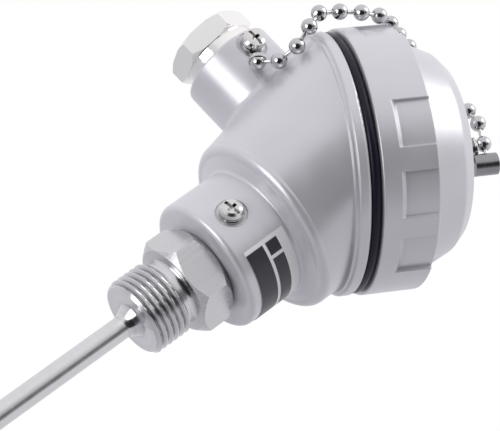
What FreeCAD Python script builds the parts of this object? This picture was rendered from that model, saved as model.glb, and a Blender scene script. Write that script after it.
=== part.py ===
import FreeCAD, Part
import math
import os

import Sketcher

# Resistance thermometer probe with a die-cast connection head.
# Frame, in millimetres: +Z runs along the probe axis towards the head, the sheath points down -Z,
# the cable entry points along -X, and the cap leans towards +X. The origin is on the probe axis at
# the head end of the process thread. The cap and its seal are drawn upright about the cap's axis and
# then tilted, so their heights are measured along the cap's axis from the face of the head's flange.

SIZES = [
    ("sheath_radius", 3.0, "outside radius of the stainless sheath"),
    ("sheath_wall", 0.5, "wall of the sheath"),
    ("insertion_length", 150.0, "from the hexagon's lower face to the tip of the sheath"),
    ("sheath_top", 27.0, "height of the sheath's open end inside the neck"),
    ("sheath_fit", 0.05, "radial clearance of the sheath in the fitting"),
    ("weld_radius", 4.8, "radius of the weld fillet at the fitting's nose"),
    ("weld_length", 3.2, "length of the weld fillet along the sheath"),
    ("thread_radius", 10.4775, "outside radius of the G 1/2 process thread"),
    ("thread_length", 11.0, "length of the process thread"),
    ("nose_chamfer", 1.0, "chamfer at the thread's nose"),
    ("relief_radius", 9.0, "radius of the relief groove above the thread"),
    ("relief_length", 2.5, "length of the relief groove"),
    ("hexagon_flats", 24.0, "width across the flats of the fitting's hexagon"),
    ("hexagon_length", 10.5, "length of the fitting's hexagon"),
    ("hexagon_face_radius", 11.8, "radius left flat on the hexagon's two faces"),
    ("hexagon_turn", 16.0, "angle of a hexagon corner about the probe axis"),
    ("spigot_radius", 9.75, "radius of the fitting's thread inside the neck"),
    ("spigot_length", 12.5, "length of the fitting's thread inside the neck"),
    ("neck_radius", 18.2, "radius of the head's neck"),
    ("neck_height", 17.4, "height of the neck up to the shoulder"),
    ("neck_round", 1.5, "rounding of the neck's lower edge"),
    ("shoulder_radius", 24.7, "radius of the shoulder under the bell"),
    ("shoulder_slope", 1.3, "rise of the shoulder's face"),
    ("shoulder_edge", 2.4, "height of the shoulder's rounded edge"),
    ("shoulder_round", 2.2, "rounding of the shoulder's outer edge"),
    ("cap_tilt", 30.0, "angle between the cap's axis and the probe axis"),
    ("flange_offset", -2.6, "place of the flange's centre along X"),
    ("flange_height", 60.9, "place of the flange's centre along Z"),
    ("flange_radius", 35.0, "radius of the flange"),
    ("bell_inset", 1.7, "step from the flange's edge in to the bell"),
    ("bell_radius", "=flange_radius - bell_inset", "radius of the bell under the flange"),
    ("flange_thickness", 4.0, "thickness of the flange"),
    ("flange_lip", 1.0, "thickness of the flange's thinner lower lip"),
    ("flange_lip_step", 0.7, "step in radius of the flange's lower lip"),
    ("collar_inset", 3.3, "width of the flange's face outside the threaded collar"),
    ("collar_radius", "=flange_radius - collar_inset", "radius of the threaded collar that carries the cap"),
    ("collar_height", 10.0, "height of the threaded collar above the flange"),
    ("collar_wall", 3.7, "wall of the threaded collar"),
    ("collar_bore", "=collar_radius - collar_wall", "bore of the threaded collar"),
    ("floor_radius", 20.6, "radius of the terminal chamber at its floor"),
    ("floor_height", 36.6, "height of the terminal chamber's floor"),
    ("passage_radius", 6.5, "radius of the passage from the neck to the chamber"),
    ("entry_height", 58.8, "height of the cable entry's axis"),
    ("entry_radius", 13.3, "radius of the cable entry boss"),
    ("entry_reach", 43.2, "distance of the entry boss's face from the probe axis"),
    ("entry_root", 12.0, "where the entry boss starts inside the bell"),
    ("entry_bore", 8.3, "radius of the entry's threaded bore"),
    ("entry_bore_depth", 14.0, "depth of the entry's threaded bore"),
    ("entry_hole", 6.5, "radius of the hole from the entry bore to the chamber"),
    ("entry_hole_start", 8.0, "distance from the probe axis where that hole begins"),
    ("casting_round", 0.8, "rounding of the casting's small outer edges"),
    ("seal_section", 1.4, "section radius of the cap's sealing ring"),
    ("seal_gap", 0.2, "radial gap between the collar and the sealing ring"),
    ("running_gap", 0.3, "gap between a moving piece and its neighbour"),
    ("cap_overhang", 0.4, "how far the cap's grip band stands out past the flange"),
    ("cap_radius", "=flange_radius + cap_overhang", "radius of the cap's grip band"),
    ("cap_band_top", 17.9, "height of the grip band's upper edge"),
    ("cap_thread_depth", 9.0, "depth of the cap's thread"),
    ("cap_step", 4.0, "step from the grip band in to the crown's foot"),
    ("cap_cone_base", "=cap_radius - cap_step", "radius of the crown's foot"),
    ("cap_foot_rise", 0.5, "rise from the grip band's edge to the crown's foot"),
    ("cap_cone_rise", 9.4, "height of the crown's cone"),
    ("cap_cone_run", 4.5, "how far the crown's cone draws in"),
    ("cap_cone_top", "=cap_cone_base - cap_cone_run", "radius at the top of the crown's cone"),
    ("cap_crown_run", 3.5, "how far the crown draws in above its cone"),
    ("cap_crown_radius", "=cap_cone_top - cap_crown_run", "radius where the crown's top begins"),
    ("cap_crown_rise", 3.3, "rise from the cone to the crown's top"),
    ("cap_dome_rise", 1.4, "rise of the slightly domed top"),
    ("cap_wall", 2.6, "wall of the crown"),
    ("cap_round", 2.4, "rounding of the crown's shoulder"),
    ("pocket_depth", 1.0, "depth of the grip pockets"),
    ("pocket_start", 7.9, "height where a grip pocket begins"),
    ("pocket_ramp", 1.2, "height of the pocket's sloped end"),
    ("pocket_width", 20.0, "angle of one grip pocket"),
    ("pocket_pitch", 30.0, "angle from pocket to pocket in a group"),
    ("pocket_first", -75.0, "angle of the first pocket"),
    ("post_radius", 4.0, "radius of the chain post on the cap"),
    ("post_rise", 4.9, "how far the chain post stands out of the crown"),
    ("post_height",
     "=cap_band_top + cap_foot_rise + cap_cone_rise + cap_crown_rise + cap_dome_rise + post_rise",
     "height of the chain post's top"),
    ("gland_collar_radius", 10.5, "radius of the gland screw's round collar"),
    ("gland_collar_length", 3.4, "length of the gland screw's round collar"),
    ("gland_flats", 21.4, "width across the flats of the gland's hexagon"),
    ("gland_hexagon_length", 5.9, "length of the gland's hexagon"),
    ("gland_face_radius", 11.0, "radius left flat on the gland hexagon's faces"),
    ("gland_turn", -21.0, "angle of a gland corner about the entry's axis"),
    ("gland_spigot_radius", 8.0, "radius of the gland screw's thread"),
    ("gland_spigot_length", 7.0, "length of the gland screw's thread"),
    ("gland_bore", 4.6, "radius of the cable hole through the gland"),
    ("washer_thickness", 1.0, "thickness of the gland's two washers"),
    ("screw_head_radius", 3.1, "head radius of the outside screws"),
    ("screw_head_height", 2.3, "head height of the outside screws"),
    ("screw_shank_radius", 1.5, "shank radius of the outside screws"),
    ("earth_screw_length", 7.0, "shank length of the earth screw under its washer"),
    ("chain_screw_length", 3.6, "shank length of the chain screws under the washer"),
    ("slot_width", 0.9, "width of a screw's slot"),
    ("slot_depth", 1.1, "depth of a screw's slot"),
    ("spot_radius", 4.1, "radius of the spot faces under the outside screws"),
    ("spot_depth", 0.7, "depth of the spot faces"),
    ("spring_washer", 0.8, "thickness of the spring washers"),
    ("eyelet_thickness", 0.7, "thickness of the chain eyelets"),
    ("eyelet_radius", 3.3, "outside radius of the chain eyelets"),
    ("pin_head_radius", 3.0, "head radius of the pin that holds the chain's swivel"),
    ("pin_head_height", 1.0, "head height of the pin that holds the chain's swivel"),
    ("pin_length", 4.5, "length of the pin inside the chain post"),
    ("swivel_reach", 5.2, "distance of the swivel's cup from the cap's axis"),
    ("swivel_cup_radius", 3.0, "outside radius of the swivel's cup"),
    ("swivel_cup_height", 6.6, "height of the swivel's cup"),
    ("swivel_cup_floor", 2.4, "height of the floor inside the swivel's cup"),
    ("earth_azimuth", -96.0, "angle of the earth screw about the probe axis"),
    ("earth_height", 20.9, "height of the earth screw"),
    ("chain_azimuth", 11.0, "angle of the chain screw above the horizontal"),
    ("chain_setback", 4.8, "distance of the chain screw behind the entry boss's face"),
    ("chain_reach", "=entry_reach - chain_setback", "distance of the chain screw from the probe axis"),
    ("ball_radius", 2.2, "radius of the chain's balls"),
    ("ball_pitch", 6.25, "distance from ball to ball"),
    ("link_radius", 0.6, "radius of the links between the balls"),
    ("block_radius", 17.0, "radius of the terminal block"),
    ("block_height", 8.0, "height of the terminal block"),
    ("pillar_height", 4.4, "height of the pillars under the terminal block"),
    ("pillar_radius", 3.2, "radius of the pillars"),
    ("pillar_spread", 13.0, "distance of each pillar from the probe axis"),
    ("block_hole", 4.5, "radius of the wire hole through the block"),
    ("terminal_spread", 11.0, "distance of each terminal from the probe axis"),
    ("terminal_size", 5.0, "side of a terminal's brass body"),
    ("terminal_height", 4.8, "height of a terminal's brass body"),
    ("terminal_fit", 0.2, "clearance of a terminal in its pocket"),
    ("inner_head_radius", 2.5, "head radius of the inside screws"),
    ("inner_head_height", 1.8, "head height of the inside screws"),
    ("inner_shank_radius", 1.4, "shank radius of the inside screws"),
    ("wire_radius", 0.45, "radius of a lead wire"),
    ("wire_bend", 2.0, "bend radius of a lead wire"),
    ("wire_circle", 1.3, "distance of each wire from the probe axis"),
    ("core_radius", 0.25, "radius of the measuring wires inside the sheath"),
    ("element_radius", 1.4, "radius of the sensing element"),
    ("element_length", 13.0, "length of the sensing element"),
    ("insulator_radius", 2.3, "radius of the ceramic insulator"),
    ("potting_length", 6.0, "length of the resin plug in the sheath's end"),
    ("label_first", -64.0, "angle of the label's first edge about the probe axis"),
    ("label_span", 100.0, "angle that the label covers"),
    ("label_start", 3.4, "distance of the label above the neck's lower face"),
    ("label_width", 12.8, "width of the label along the neck"),
    ("label_thickness", 0.15, "thickness of the label"),
]

TERMINAL_ANGLES = (30, 150, 210, 330)
WIRED_TERMINALS = (30, 150, 330)
PIN_POINT = 0.02

doc = FreeCAD.newDocument("temperature_probe")
sheet = doc.addObject("Spreadsheet::Sheet", "Sizes")
for row, (alias, number, note) in enumerate(SIZES, start=1):
    sheet.set("A%d" % row, note)
    sheet.set("B%d" % row, str(number))
    sheet.setAlias("B%d" % row, alias)
doc.recompute()


class Size:
    """A length or angle that carries its number and the expression that drives it."""

    def __init__(self, number, text):
        self.number = number
        self.text = text

    def join(self, other, sign, number):
        text = other.text if isinstance(other, Size) else repr(float(other))
        return Size(number, "(%s %s %s)" % (self.text, sign, text))

    def __add__(self, other):
        return self.join(other, "+", self.number + as_number(other))

    def __sub__(self, other):
        return self.join(other, "-", self.number - as_number(other))

    def __mul__(self, other):
        return self.join(other, "*", self.number * as_number(other))

    def __truediv__(self, other):
        return self.join(other, "/", self.number / as_number(other))

    def __neg__(self):
        return Size(-self.number, "(0 - %s)" % self.text)


def as_number(value):
    return value.number if isinstance(value, Size) else float(value)


def as_size(value):
    return value if isinstance(value, Size) else Size(float(value), repr(float(value)))


def size(alias):
    return Size(float(sheet.get(alias)), "Sizes." + alias)


D = {alias: size(alias) for alias, number, note in SIZES}


def bind(obj, prop, value):
    obj.setExpression(prop, as_size(value).text)


def place(obj, x=0, y=0, z=0, axis=(0, 0, 1), angle=0):
    """Put an object at a point, turned about an axis, with every value bound to the sheet."""
    rotation = FreeCAD.Rotation(FreeCAD.Vector(*axis), as_number(angle))
    spot = FreeCAD.Vector(as_number(x), as_number(y), as_number(z))
    obj.Placement = FreeCAD.Placement(spot, rotation)
    for name, value in (("x", x), ("y", y), ("z", z)):
        if isinstance(value, Size):
            bind(obj, "Placement.Base." + name, value)
    if isinstance(angle, Size):
        bind(obj, "Placement.Rotation.Angle", angle)
    return obj


def origin_plane(body, role):
    return [item for item in body.Origin.OriginFeatures if item.Role == role][0]


def hold_point(sketch, geometry, spot, point):
    """Tie one corner of a profile to the origin by its two coordinates."""
    for kind, axis_line, value in (("DistanceX", -2, point[0]), ("DistanceY", -1, point[1])):
        number = as_number(value)
        if abs(number) < 1e-9:
            sketch.addConstraint(Sketcher.Constraint("PointOnObject", geometry, spot, axis_line))
            continue
        ends = (-1, 1, geometry, spot) if number > 0 else (geometry, spot, -1, 1)
        index = sketch.addConstraint(Sketcher.Constraint(kind, *ends, abs(number)))
        if isinstance(value, Size):
            bind(sketch, "Constraints[%d]" % index, value if number > 0 else -value)


def polygon(sketch, points):
    """A closed outline of straight lines whose corners follow the sheet."""
    count = len(points)
    first = sketch.GeometryCount
    for i in range(count):
        a, b = points[i], points[(i + 1) % count]
        start = FreeCAD.Vector(as_number(a[0]), as_number(a[1]), 0)
        end = FreeCAD.Vector(as_number(b[0]), as_number(b[1]), 0)
        sketch.addGeometry(Part.LineSegment(start, end), False)
    for i in range(count):
        following = first + (i + 1) % count
        sketch.addConstraint(Sketcher.Constraint("Coincident", first + i, 2, following, 1))
    for i in range(count):
        hold_point(sketch, first + i, 1, points[i])


def circle(sketch, radius):
    """A circle about the origin."""
    index = sketch.addGeometry(Part.Circle(FreeCAD.Vector(), FreeCAD.Vector(0, 0, 1), as_number(radius)), False)
    sketch.addConstraint(Sketcher.Constraint("Coincident", index, 3, -1, 1))
    rule = sketch.addConstraint(Sketcher.Constraint("Radius", index, as_number(radius)))
    if isinstance(radius, Size):
        bind(sketch, "Constraints[%d]" % rule, radius)


def new_body(label):
    body = doc.addObject("PartDesign::Body", "Body_" + label)
    body.Label = label
    return body


def new_sketch(body, role="XZ_Plane", height=None, turn=None):
    """A sketch on a plane of the body, lifted or turned about the body's axis."""
    sketch = body.newObject("Sketcher::SketchObject", "Sketch_" + body.Label)
    sketch.AttachmentSupport = (origin_plane(body, role), [""])
    sketch.MapMode = "FlatFace"
    if height is not None:
        bind(sketch, "AttachmentOffset.Base.z", height)
    if turn is not None:
        sketch.AttachmentOffset = FreeCAD.Placement(
            FreeCAD.Vector(), FreeCAD.Rotation(FreeCAD.Vector(0, 1, 0), as_number(turn)))
        if isinstance(turn, Size):
            bind(sketch, "AttachmentOffset.Rotation.Angle", turn)
    return sketch


def revolve(body, points, angle=360, turn=None):
    """Turn a profile of (radius, height) corners about the body's Z axis."""
    sketch = new_sketch(body, turn=turn)
    polygon(sketch, points)
    doc.recompute()
    feature = body.newObject("PartDesign::Revolution", "Turned_" + body.Label)
    feature.Profile = sketch
    feature.ReferenceAxis = (sketch, ["V_Axis"])
    feature.Angle = as_number(angle)
    if isinstance(angle, Size):
        bind(feature, "Angle", angle)
    doc.recompute()
    return feature


def cut_upwards(body, draw, height, depth):
    """Cut a drawn outline upwards from a height over a depth, and check that it removes metal."""
    before = body.Shape.Volume
    sketch = new_sketch(body, "XY_Plane", height)
    draw(sketch)
    doc.recompute()
    pocket = body.newObject("PartDesign::Pocket", "Cut_" + body.Label)
    pocket.Profile = sketch
    pocket.Reversed = True
    pocket.Length = as_number(depth)
    bind(pocket, "Length", depth)
    doc.recompute()
    if body.Shape.Volume >= before - 1e-6:
        raise ValueError("a cut in %s removes nothing" % body.Label)
    return pocket


def round_edges(body, test, radius):
    """Round the circular edges that a test picks by their radius and height."""
    base = body.Tip
    picked = []
    for number, edge in enumerate(base.Shape.Edges, start=1):
        curve = edge.Curve
        if isinstance(curve, Part.Circle) and test(curve.Radius, curve.Center.z):
            picked.append("Edge%d" % number)
    if not picked:
        raise ValueError("no edge to round on %s" % body.Label)
    feature = body.newObject("PartDesign::Fillet", "Round_" + body.Label)
    feature.Base = (base, picked)
    feature.Radius = as_number(radius)
    bind(feature, "Radius", radius)
    doc.recompute()
    if "Invalid" in feature.State or feature.Shape.isNull():
        raise ValueError("the rounding on %s fails" % body.Label)
    return feature


def near(value, target):
    return abs(value - as_number(target)) < PIN_POINT


def hexagon_corners(flats):
    across = flats / (2 * math.cos(math.radians(30)))
    corners = []
    for k in range(6):
        angle = math.radians(60 * k)
        corners.append((across * math.cos(angle), across * math.sin(angle)))
    return corners


def trim_to_hexagon(body, flats, height, length):
    """Leave six flats between two heights of a turned blank."""
    def draw(sketch):
        circle(sketch, flats)
        polygon(sketch, hexagon_corners(flats))
    return cut_upwards(body, draw, height, length)


def cylinder(name, radius, height):
    item = doc.addObject("Part::Cylinder", name)
    bind(item, "Radius", radius)
    bind(item, "Height", height)
    return item


def cut(name, base, tools):
    """Take several tools away from a base."""
    together = tools[0]
    if len(tools) > 1:
        together = doc.addObject("Part::MultiFuse", name + "_tools")
        together.Shapes = tools
    result = doc.addObject("Part::Cut", name)
    result.Base = base
    result.Tool = together
    doc.recompute()
    return result


def group(label, members):
    """One node that holds several separate solids."""
    item = doc.addObject("Part::Compound", "Group_" + label)
    item.Label = label
    item.Links = members
    doc.recompute()
    return item


nodes = {}


def keep(label, obj):
    obj.Label = label
    nodes[label] = obj
    return obj


# Heights along the probe axis that several pieces share.
shoulder_plane = D["relief_length"]
hexagon_top = shoulder_plane + D["hexagon_length"]
neck_bottom = hexagon_top
crease = neck_bottom + D["neck_height"]
bell_start = crease + D["shoulder_slope"] + D["shoulder_edge"]
thread_nose = -D["thread_length"]
tip = shoulder_plane - D["insertion_length"]
pillar_top = D["floor_height"] + D["pillar_height"]
block_top = pillar_top + D["block_height"]
hexagon_corner = D["hexagon_flats"] / (2 * math.cos(math.radians(30)))
cap_rim = D["seal_section"] * 2 + D["running_gap"]


def tilted(obj, height=0):
    """Put an upright object on the cap's axis, a height above the flange face."""
    lean = math.radians(D["cap_tilt"].number)
    place(obj, axis=(0, 1, 0), angle=D["cap_tilt"])
    rise = as_size(height)
    x = D["flange_offset"].number + rise.number * math.sin(lean)
    z = D["flange_height"].number + rise.number * math.cos(lean)
    obj.Placement.Base = FreeCAD.Vector(x, 0, z)
    bind(obj, "Placement.Base.x", Size(x, "Sizes.flange_offset + %s * sin(Sizes.cap_tilt * 1 deg)" % rise.text))
    bind(obj, "Placement.Base.z", Size(z, "Sizes.flange_height + %s * cos(Sizes.cap_tilt * 1 deg)" % rise.text))
    return obj


def outward(obj, distance):
    """Turn an upright object to point out of the cable entry, a distance from the probe axis."""
    return place(obj, x=-as_size(distance), z=D["entry_height"], axis=(0, 1, 0), angle=-90)


def make_fitting():
    """Process fitting: thread, relief groove, hexagon and the spigot that screws into the neck."""
    body = new_body("process_fitting")
    chamfer = D["nose_chamfer"]
    edge = hexagon_corner - D["hexagon_face_radius"]
    bore = D["sheath_radius"] + D["sheath_fit"]
    revolve(body, [
        (bore, thread_nose),
        (D["thread_radius"] - chamfer, thread_nose),
        (D["thread_radius"], thread_nose + chamfer),
        (D["thread_radius"], 0),
        (D["relief_radius"], 0),
        (D["relief_radius"], shoulder_plane),
        (D["hexagon_face_radius"], shoulder_plane),
        (hexagon_corner, shoulder_plane + edge),
        (hexagon_corner, hexagon_top - edge),
        (D["hexagon_face_radius"], hexagon_top),
        (D["spigot_radius"], hexagon_top),
        (D["spigot_radius"], hexagon_top + D["spigot_length"]),
        (bore, hexagon_top + D["spigot_length"]),
    ])
    trim_to_hexagon(body, D["hexagon_flats"], shoulder_plane, D["hexagon_length"])
    place(body, angle=D["hexagon_turn"])
    return body


def make_sheath():
    """Sheath: a tube closed at the tip."""
    body = new_body("sensor_sheath")
    outer = D["sheath_radius"]
    inner = outer - D["sheath_wall"]
    revolve(body, [
        (0, tip),
        (outer - D["sheath_wall"], tip),
        (outer, tip + D["sheath_wall"]),
        (outer, D["sheath_top"]),
        (inner, D["sheath_top"]),
        (inner, tip + D["sheath_wall"] * 2),
        (0, tip + D["sheath_wall"] * 2),
    ])
    return body


def make_weld():
    """Weld fillet that joins the sheath to the fitting's nose."""
    body = new_body("sheath_weld")
    inner = D["sheath_radius"] + PIN_POINT
    swell = D["weld_radius"] - D["sheath_radius"]
    revolve(body, [
        (inner, thread_nose - D["weld_length"]),
        (D["sheath_radius"] + 0.25, thread_nose - D["weld_length"]),
        (D["sheath_radius"] + swell * 0.36, thread_nose - D["weld_length"] * 0.66),
        (D["sheath_radius"] + swell * 0.69, thread_nose - D["weld_length"] * 0.33),
        (D["weld_radius"], thread_nose),
        (inner, thread_nose),
    ])
    return body


def make_neck_blank():
    """Neck and shoulder of the head, turned about the probe axis."""
    body = new_body("neck_blank")
    rim = D["shoulder_radius"]
    revolve(body, [
        (0, neck_bottom),
        (D["neck_radius"], neck_bottom),
        (D["neck_radius"], crease),
        (rim - D["shoulder_round"] - 0.4, crease + D["shoulder_slope"]),
        (rim, crease + D["shoulder_slope"]),
        (rim, bell_start),
        (0, bell_start),
    ])
    lower_edge = crease + D["shoulder_slope"]
    round_edges(body, lambda radius, z: near(radius, rim) and near(z, lower_edge), D["shoulder_round"])
    round_edges(body, lambda radius, z: near(z, neck_bottom), D["neck_round"])
    round_edges(body, lambda radius, z: near(radius, D["neck_radius"]) and near(z, crease), D["casting_round"])
    return body


def make_flange_blank():
    """Flange with its thinner lower lip, and the threaded collar above it."""
    body = new_body("flange_blank")
    lip = D["flange_radius"] - D["flange_lip_step"]
    revolve(body, [
        (0, -D["flange_thickness"]),
        (lip, -D["flange_thickness"]),
        (lip, D["flange_lip"] - D["flange_thickness"]),
        (D["flange_radius"], D["flange_lip"] - D["flange_thickness"]),
        (D["flange_radius"], 0),
        (D["collar_radius"], 0),
        (D["collar_radius"], D["collar_height"]),
        (0, D["collar_height"]),
    ])
    upper = D["flange_lip"] - D["flange_thickness"]
    round_edges(body, lambda radius, z: near(radius, D["flange_radius"]) and near(z, upper), D["flange_lip_step"] * 0.6)
    round_edges(body, lambda radius, z: near(radius, D["flange_radius"]) and near(z, 0), D["flange_lip_step"])
    return tilted(body)


def ring_section(name, radius, height=None):
    """One round section of a loft, level at a height or tilted under the flange."""
    section = doc.addObject("Part::Circle", name)
    bind(section, "Radius", radius)
    if height is None:
        return tilted(section, -D["flange_thickness"])
    return place(section, z=height)


def loft(name, sections):
    item = doc.addObject("Part::Loft", name)
    item.Sections = sections
    item.Solid = True
    item.Ruled = True
    doc.recompute()
    return item


def make_entry_blank():
    """Boss of the cable entry."""
    body = new_body("entry_blank")
    length = D["entry_reach"] - D["entry_root"]
    revolve(body, [(0, 0), (D["entry_radius"], 0), (D["entry_radius"], length), (0, length)])
    round_edges(body, lambda radius, z: near(z, length), D["casting_round"])
    return outward(body, D["entry_root"])


def across_neck(obj, reach):
    """Turn an upright object to point out of the neck at the earth screw, a reach from the axis."""
    azimuth = math.radians(D["earth_azimuth"].number)
    rotation = FreeCAD.Rotation(FreeCAD.Vector(0, 0, 1), FreeCAD.Vector(math.cos(azimuth), math.sin(azimuth), 0))
    number = as_number(reach)
    text = as_size(reach).text
    obj.Placement = FreeCAD.Placement(
        FreeCAD.Vector(number * math.cos(azimuth), number * math.sin(azimuth), D["earth_height"].number), rotation)
    bind(obj, "Placement.Base.x", Size(0, "%s * cos(Sizes.earth_azimuth * 1 deg)" % text))
    bind(obj, "Placement.Base.y", Size(0, "%s * sin(Sizes.earth_azimuth * 1 deg)" % text))
    bind(obj, "Placement.Base.z", D["earth_height"])
    return obj


def across_entry(obj, reach):
    """Turn an upright object to point out of the entry boss at the chain screw."""
    azimuth = math.radians(D["chain_azimuth"].number)
    rotation = FreeCAD.Rotation(FreeCAD.Vector(0, 0, 1), FreeCAD.Vector(0, -math.cos(azimuth), math.sin(azimuth)))
    number = as_number(reach)
    text = as_size(reach).text
    obj.Placement = FreeCAD.Placement(FreeCAD.Vector(
        -D["chain_reach"].number,
        -number * math.cos(azimuth),
        D["entry_height"].number + number * math.sin(azimuth)), rotation)
    bind(obj, "Placement.Base.x", -D["chain_reach"])
    bind(obj, "Placement.Base.y", Size(0, "0 - %s * cos(Sizes.chain_azimuth * 1 deg)" % text))
    bind(obj, "Placement.Base.z", Size(0, "Sizes.entry_height + %s * sin(Sizes.chain_azimuth * 1 deg)" % text))
    return obj


earth_seat = D["neck_radius"] - D["spot_depth"]
chain_seat = D["entry_radius"] - D["spot_depth"]


def make_head():
    """Die-cast head: neck, shoulder, bell, flange, threaded collar and cable entry, made hollow."""
    bell = loft("bell_blank", [
        ring_section("bell_foot", D["shoulder_radius"], bell_start),
        ring_section("bell_rim", D["bell_radius"]),
    ])
    solid = doc.addObject("Part::MultiFuse", "head_blank")
    solid.Shapes = [make_neck_blank(), bell, make_flange_blank(), make_entry_blank()]
    solid.Refine = True
    chamber = loft("chamber_foot_space", [
        ring_section("chamber_foot", D["floor_radius"], D["floor_height"]),
        ring_section("chamber_rim", D["collar_bore"]),
    ])
    mouth_height = D["flange_thickness"] + D["collar_height"] + 1
    mouth = tilted(cylinder("chamber_mouth", D["collar_bore"], mouth_height), -D["flange_thickness"])
    fitting_bore = place(
        cylinder("fitting_bore", D["spigot_radius"] + D["sheath_fit"], D["spigot_length"] + 2),
        z=neck_bottom - 1)
    passage = place(cylinder("wire_passage", D["passage_radius"], D["floor_height"]), z=neck_bottom)
    entry_bore = outward(
        cylinder("entry_bore_space", D["entry_bore"], D["entry_bore_depth"] + 1),
        D["entry_reach"] - D["entry_bore_depth"])
    entry_hole = outward(
        cylinder("entry_hole_space", D["entry_hole"], D["entry_reach"] - D["entry_hole_start"]),
        D["entry_hole_start"])
    earth_spot = across_neck(cylinder("earth_spot", D["spot_radius"], D["spot_depth"] + 2), earth_seat)
    earth_hole = across_neck(
        cylinder("earth_hole", D["screw_shank_radius"] + PIN_POINT, D["earth_screw_length"] + 2),
        earth_seat - D["earth_screw_length"])
    chain_spot = across_entry(cylinder("chain_spot", D["spot_radius"], D["spot_depth"] + 2), chain_seat)
    chain_hole = across_entry(
        cylinder("chain_hole", D["screw_shank_radius"] + PIN_POINT, D["chain_screw_length"] + 2),
        chain_seat - D["chain_screw_length"] - 0.3)
    hollow = cut("hollow_head", solid, [
        chamber, mouth, fitting_bore, passage, entry_bore, entry_hole,
        earth_spot, earth_hole, chain_spot, chain_hole])
    pillars = []
    for side in (1, -1):
        spread = D["pillar_spread"] * side
        pillar = cylinder("pillar_%d" % (side + 2), D["pillar_radius"], D["pillar_height"] + 1)
        pillars.append(place(pillar, y=spread, z=D["floor_height"] - 1))
    with_pillars = doc.addObject("Part::MultiFuse", "head_with_pillars")
    with_pillars.Shapes = [hollow] + pillars
    holes = []
    for side in (1, -1):
        hole = cylinder("pillar_hole_%d" % (side + 2), D["inner_shank_radius"] + PIN_POINT, D["pillar_height"] + 2)
        holes.append(place(hole, y=D["pillar_spread"] * side, z=D["floor_height"] - 0.5))
    return cut("Casting", with_pillars, holes)


def make_cap():
    """Screw cap: grip band with pockets, conical crown and the post that carries the chain."""
    body = new_body("screw_cap")
    band_top = D["cap_band_top"]
    foot = band_top + D["cap_foot_rise"]
    cone_top = foot + D["cap_cone_rise"]
    crown = cone_top + D["cap_crown_rise"]
    dome = crown + D["cap_dome_rise"]
    wall = D["cap_wall"]
    thread_bore = D["collar_radius"] + D["running_gap"]
    thread_top = cap_rim + D["cap_thread_depth"]
    revolve(body, [
        (thread_bore, cap_rim),
        (D["cap_radius"], cap_rim),
        (D["cap_radius"], band_top),
        (D["cap_cone_base"], foot),
        (D["cap_cone_top"], cone_top),
        (D["cap_crown_radius"], crown),
        (D["cap_crown_radius"] * 0.5, crown + D["cap_dome_rise"] * 0.75),
        (D["post_radius"], dome),
        (D["post_radius"], D["post_height"]),
        (D["screw_shank_radius"] + PIN_POINT, D["post_height"]),
        (D["screw_shank_radius"] + PIN_POINT, D["post_height"] - D["pin_length"] - 0.3),
        (0, D["post_height"] - D["pin_length"] - 0.3),
        (0, dome - wall),
        (D["cap_crown_radius"] * 0.5, crown + D["cap_dome_rise"] * 0.75 - wall),
        (D["cap_crown_radius"] - wall * 0.5, crown - wall),
        (D["cap_cone_top"] - wall, cone_top - wall * 0.4),
        (D["cap_cone_base"] - wall, foot),
        (D["cap_cone_base"] - wall, thread_top + 2),
        (thread_bore, thread_top),
    ])
    round_edges(
        body, lambda radius, z: near(radius, D["cap_cone_top"]) and near(z, cone_top), D["cap_round"])
    round_edges(
        body, lambda radius, z: near(radius, D["cap_crown_radius"]) and near(z, crown), D["cap_round"])
    round_edges(
        body, lambda radius, z: near(radius, D["cap_radius"]) and z > 0, D["casting_round"] * 0.5)
    floor = D["cap_radius"] - D["pocket_depth"]
    outside = D["cap_radius"] + 1
    pockets = []
    for third in range(3):
        for step in range(3):
            pocket = new_body("grip_pocket_%d" % (third * 3 + step + 1))
            middle = D["pocket_first"] + D["pocket_pitch"] * step + 120.0 * third
            revolve(
                pocket, [
                    (floor, D["pocket_start"] + D["pocket_ramp"]),
                    (D["cap_radius"] + PIN_POINT, D["pocket_start"]),
                    (outside, D["pocket_start"]),
                    (outside, foot + 1),
                    (floor, foot + 1),
                ], angle=D["pocket_width"], turn=middle - D["pocket_width"] * 0.5)
            pockets.append(pocket)
    return tilted(cut("Cap", body, pockets))


def make_seal():
    """Sealing ring between the flange and the cap."""
    ring = doc.addObject("Part::Torus", "Seal_ring")
    bind(ring, "Radius1", D["collar_radius"] + D["seal_gap"] + D["seal_section"])
    bind(ring, "Radius2", D["seal_section"])
    return tilted(ring, D["seal_section"] + PIN_POINT)


def make_gland_screw():
    """Hollow hexagon screw of the cable gland."""
    body = new_body("gland_screw")
    corner = D["gland_flats"] / (2 * math.cos(math.radians(30)))
    face = D["gland_face_radius"]
    start = D["gland_collar_length"]
    end = start + D["gland_hexagon_length"]
    edge = (corner - face) * 0.8
    bore = D["gland_bore"]
    revolve(body, [
        (bore, -D["gland_spigot_length"]),
        (D["gland_spigot_radius"] - 0.6, -D["gland_spigot_length"]),
        (D["gland_spigot_radius"], -(D["gland_spigot_length"] - 0.6)),
        (D["gland_spigot_radius"], 0),
        (D["gland_collar_radius"], 0),
        (D["gland_collar_radius"], start),
        (face, start),
        (corner, start + edge),
        (corner, end - edge),
        (face, end),
        (bore + 1.2, end),
        (bore, end - 1.2),
    ])
    trim_to_hexagon(body, D["gland_flats"], start, D["gland_hexagon_length"])
    outward(body, D["entry_reach"])
    rotation = FreeCAD.Rotation(FreeCAD.Vector(0, 1, 0), -90)
    turn = FreeCAD.Rotation(FreeCAD.Vector(0, 0, 1), D["gland_turn"].number)
    body.Placement.Rotation = rotation.multiply(turn)
    return body


def make_tube(label, inner, outer, length):
    body = new_body(label)
    revolve(body, [(inner, 0), (outer, 0), (outer, length), (inner, length)])
    return body


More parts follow.
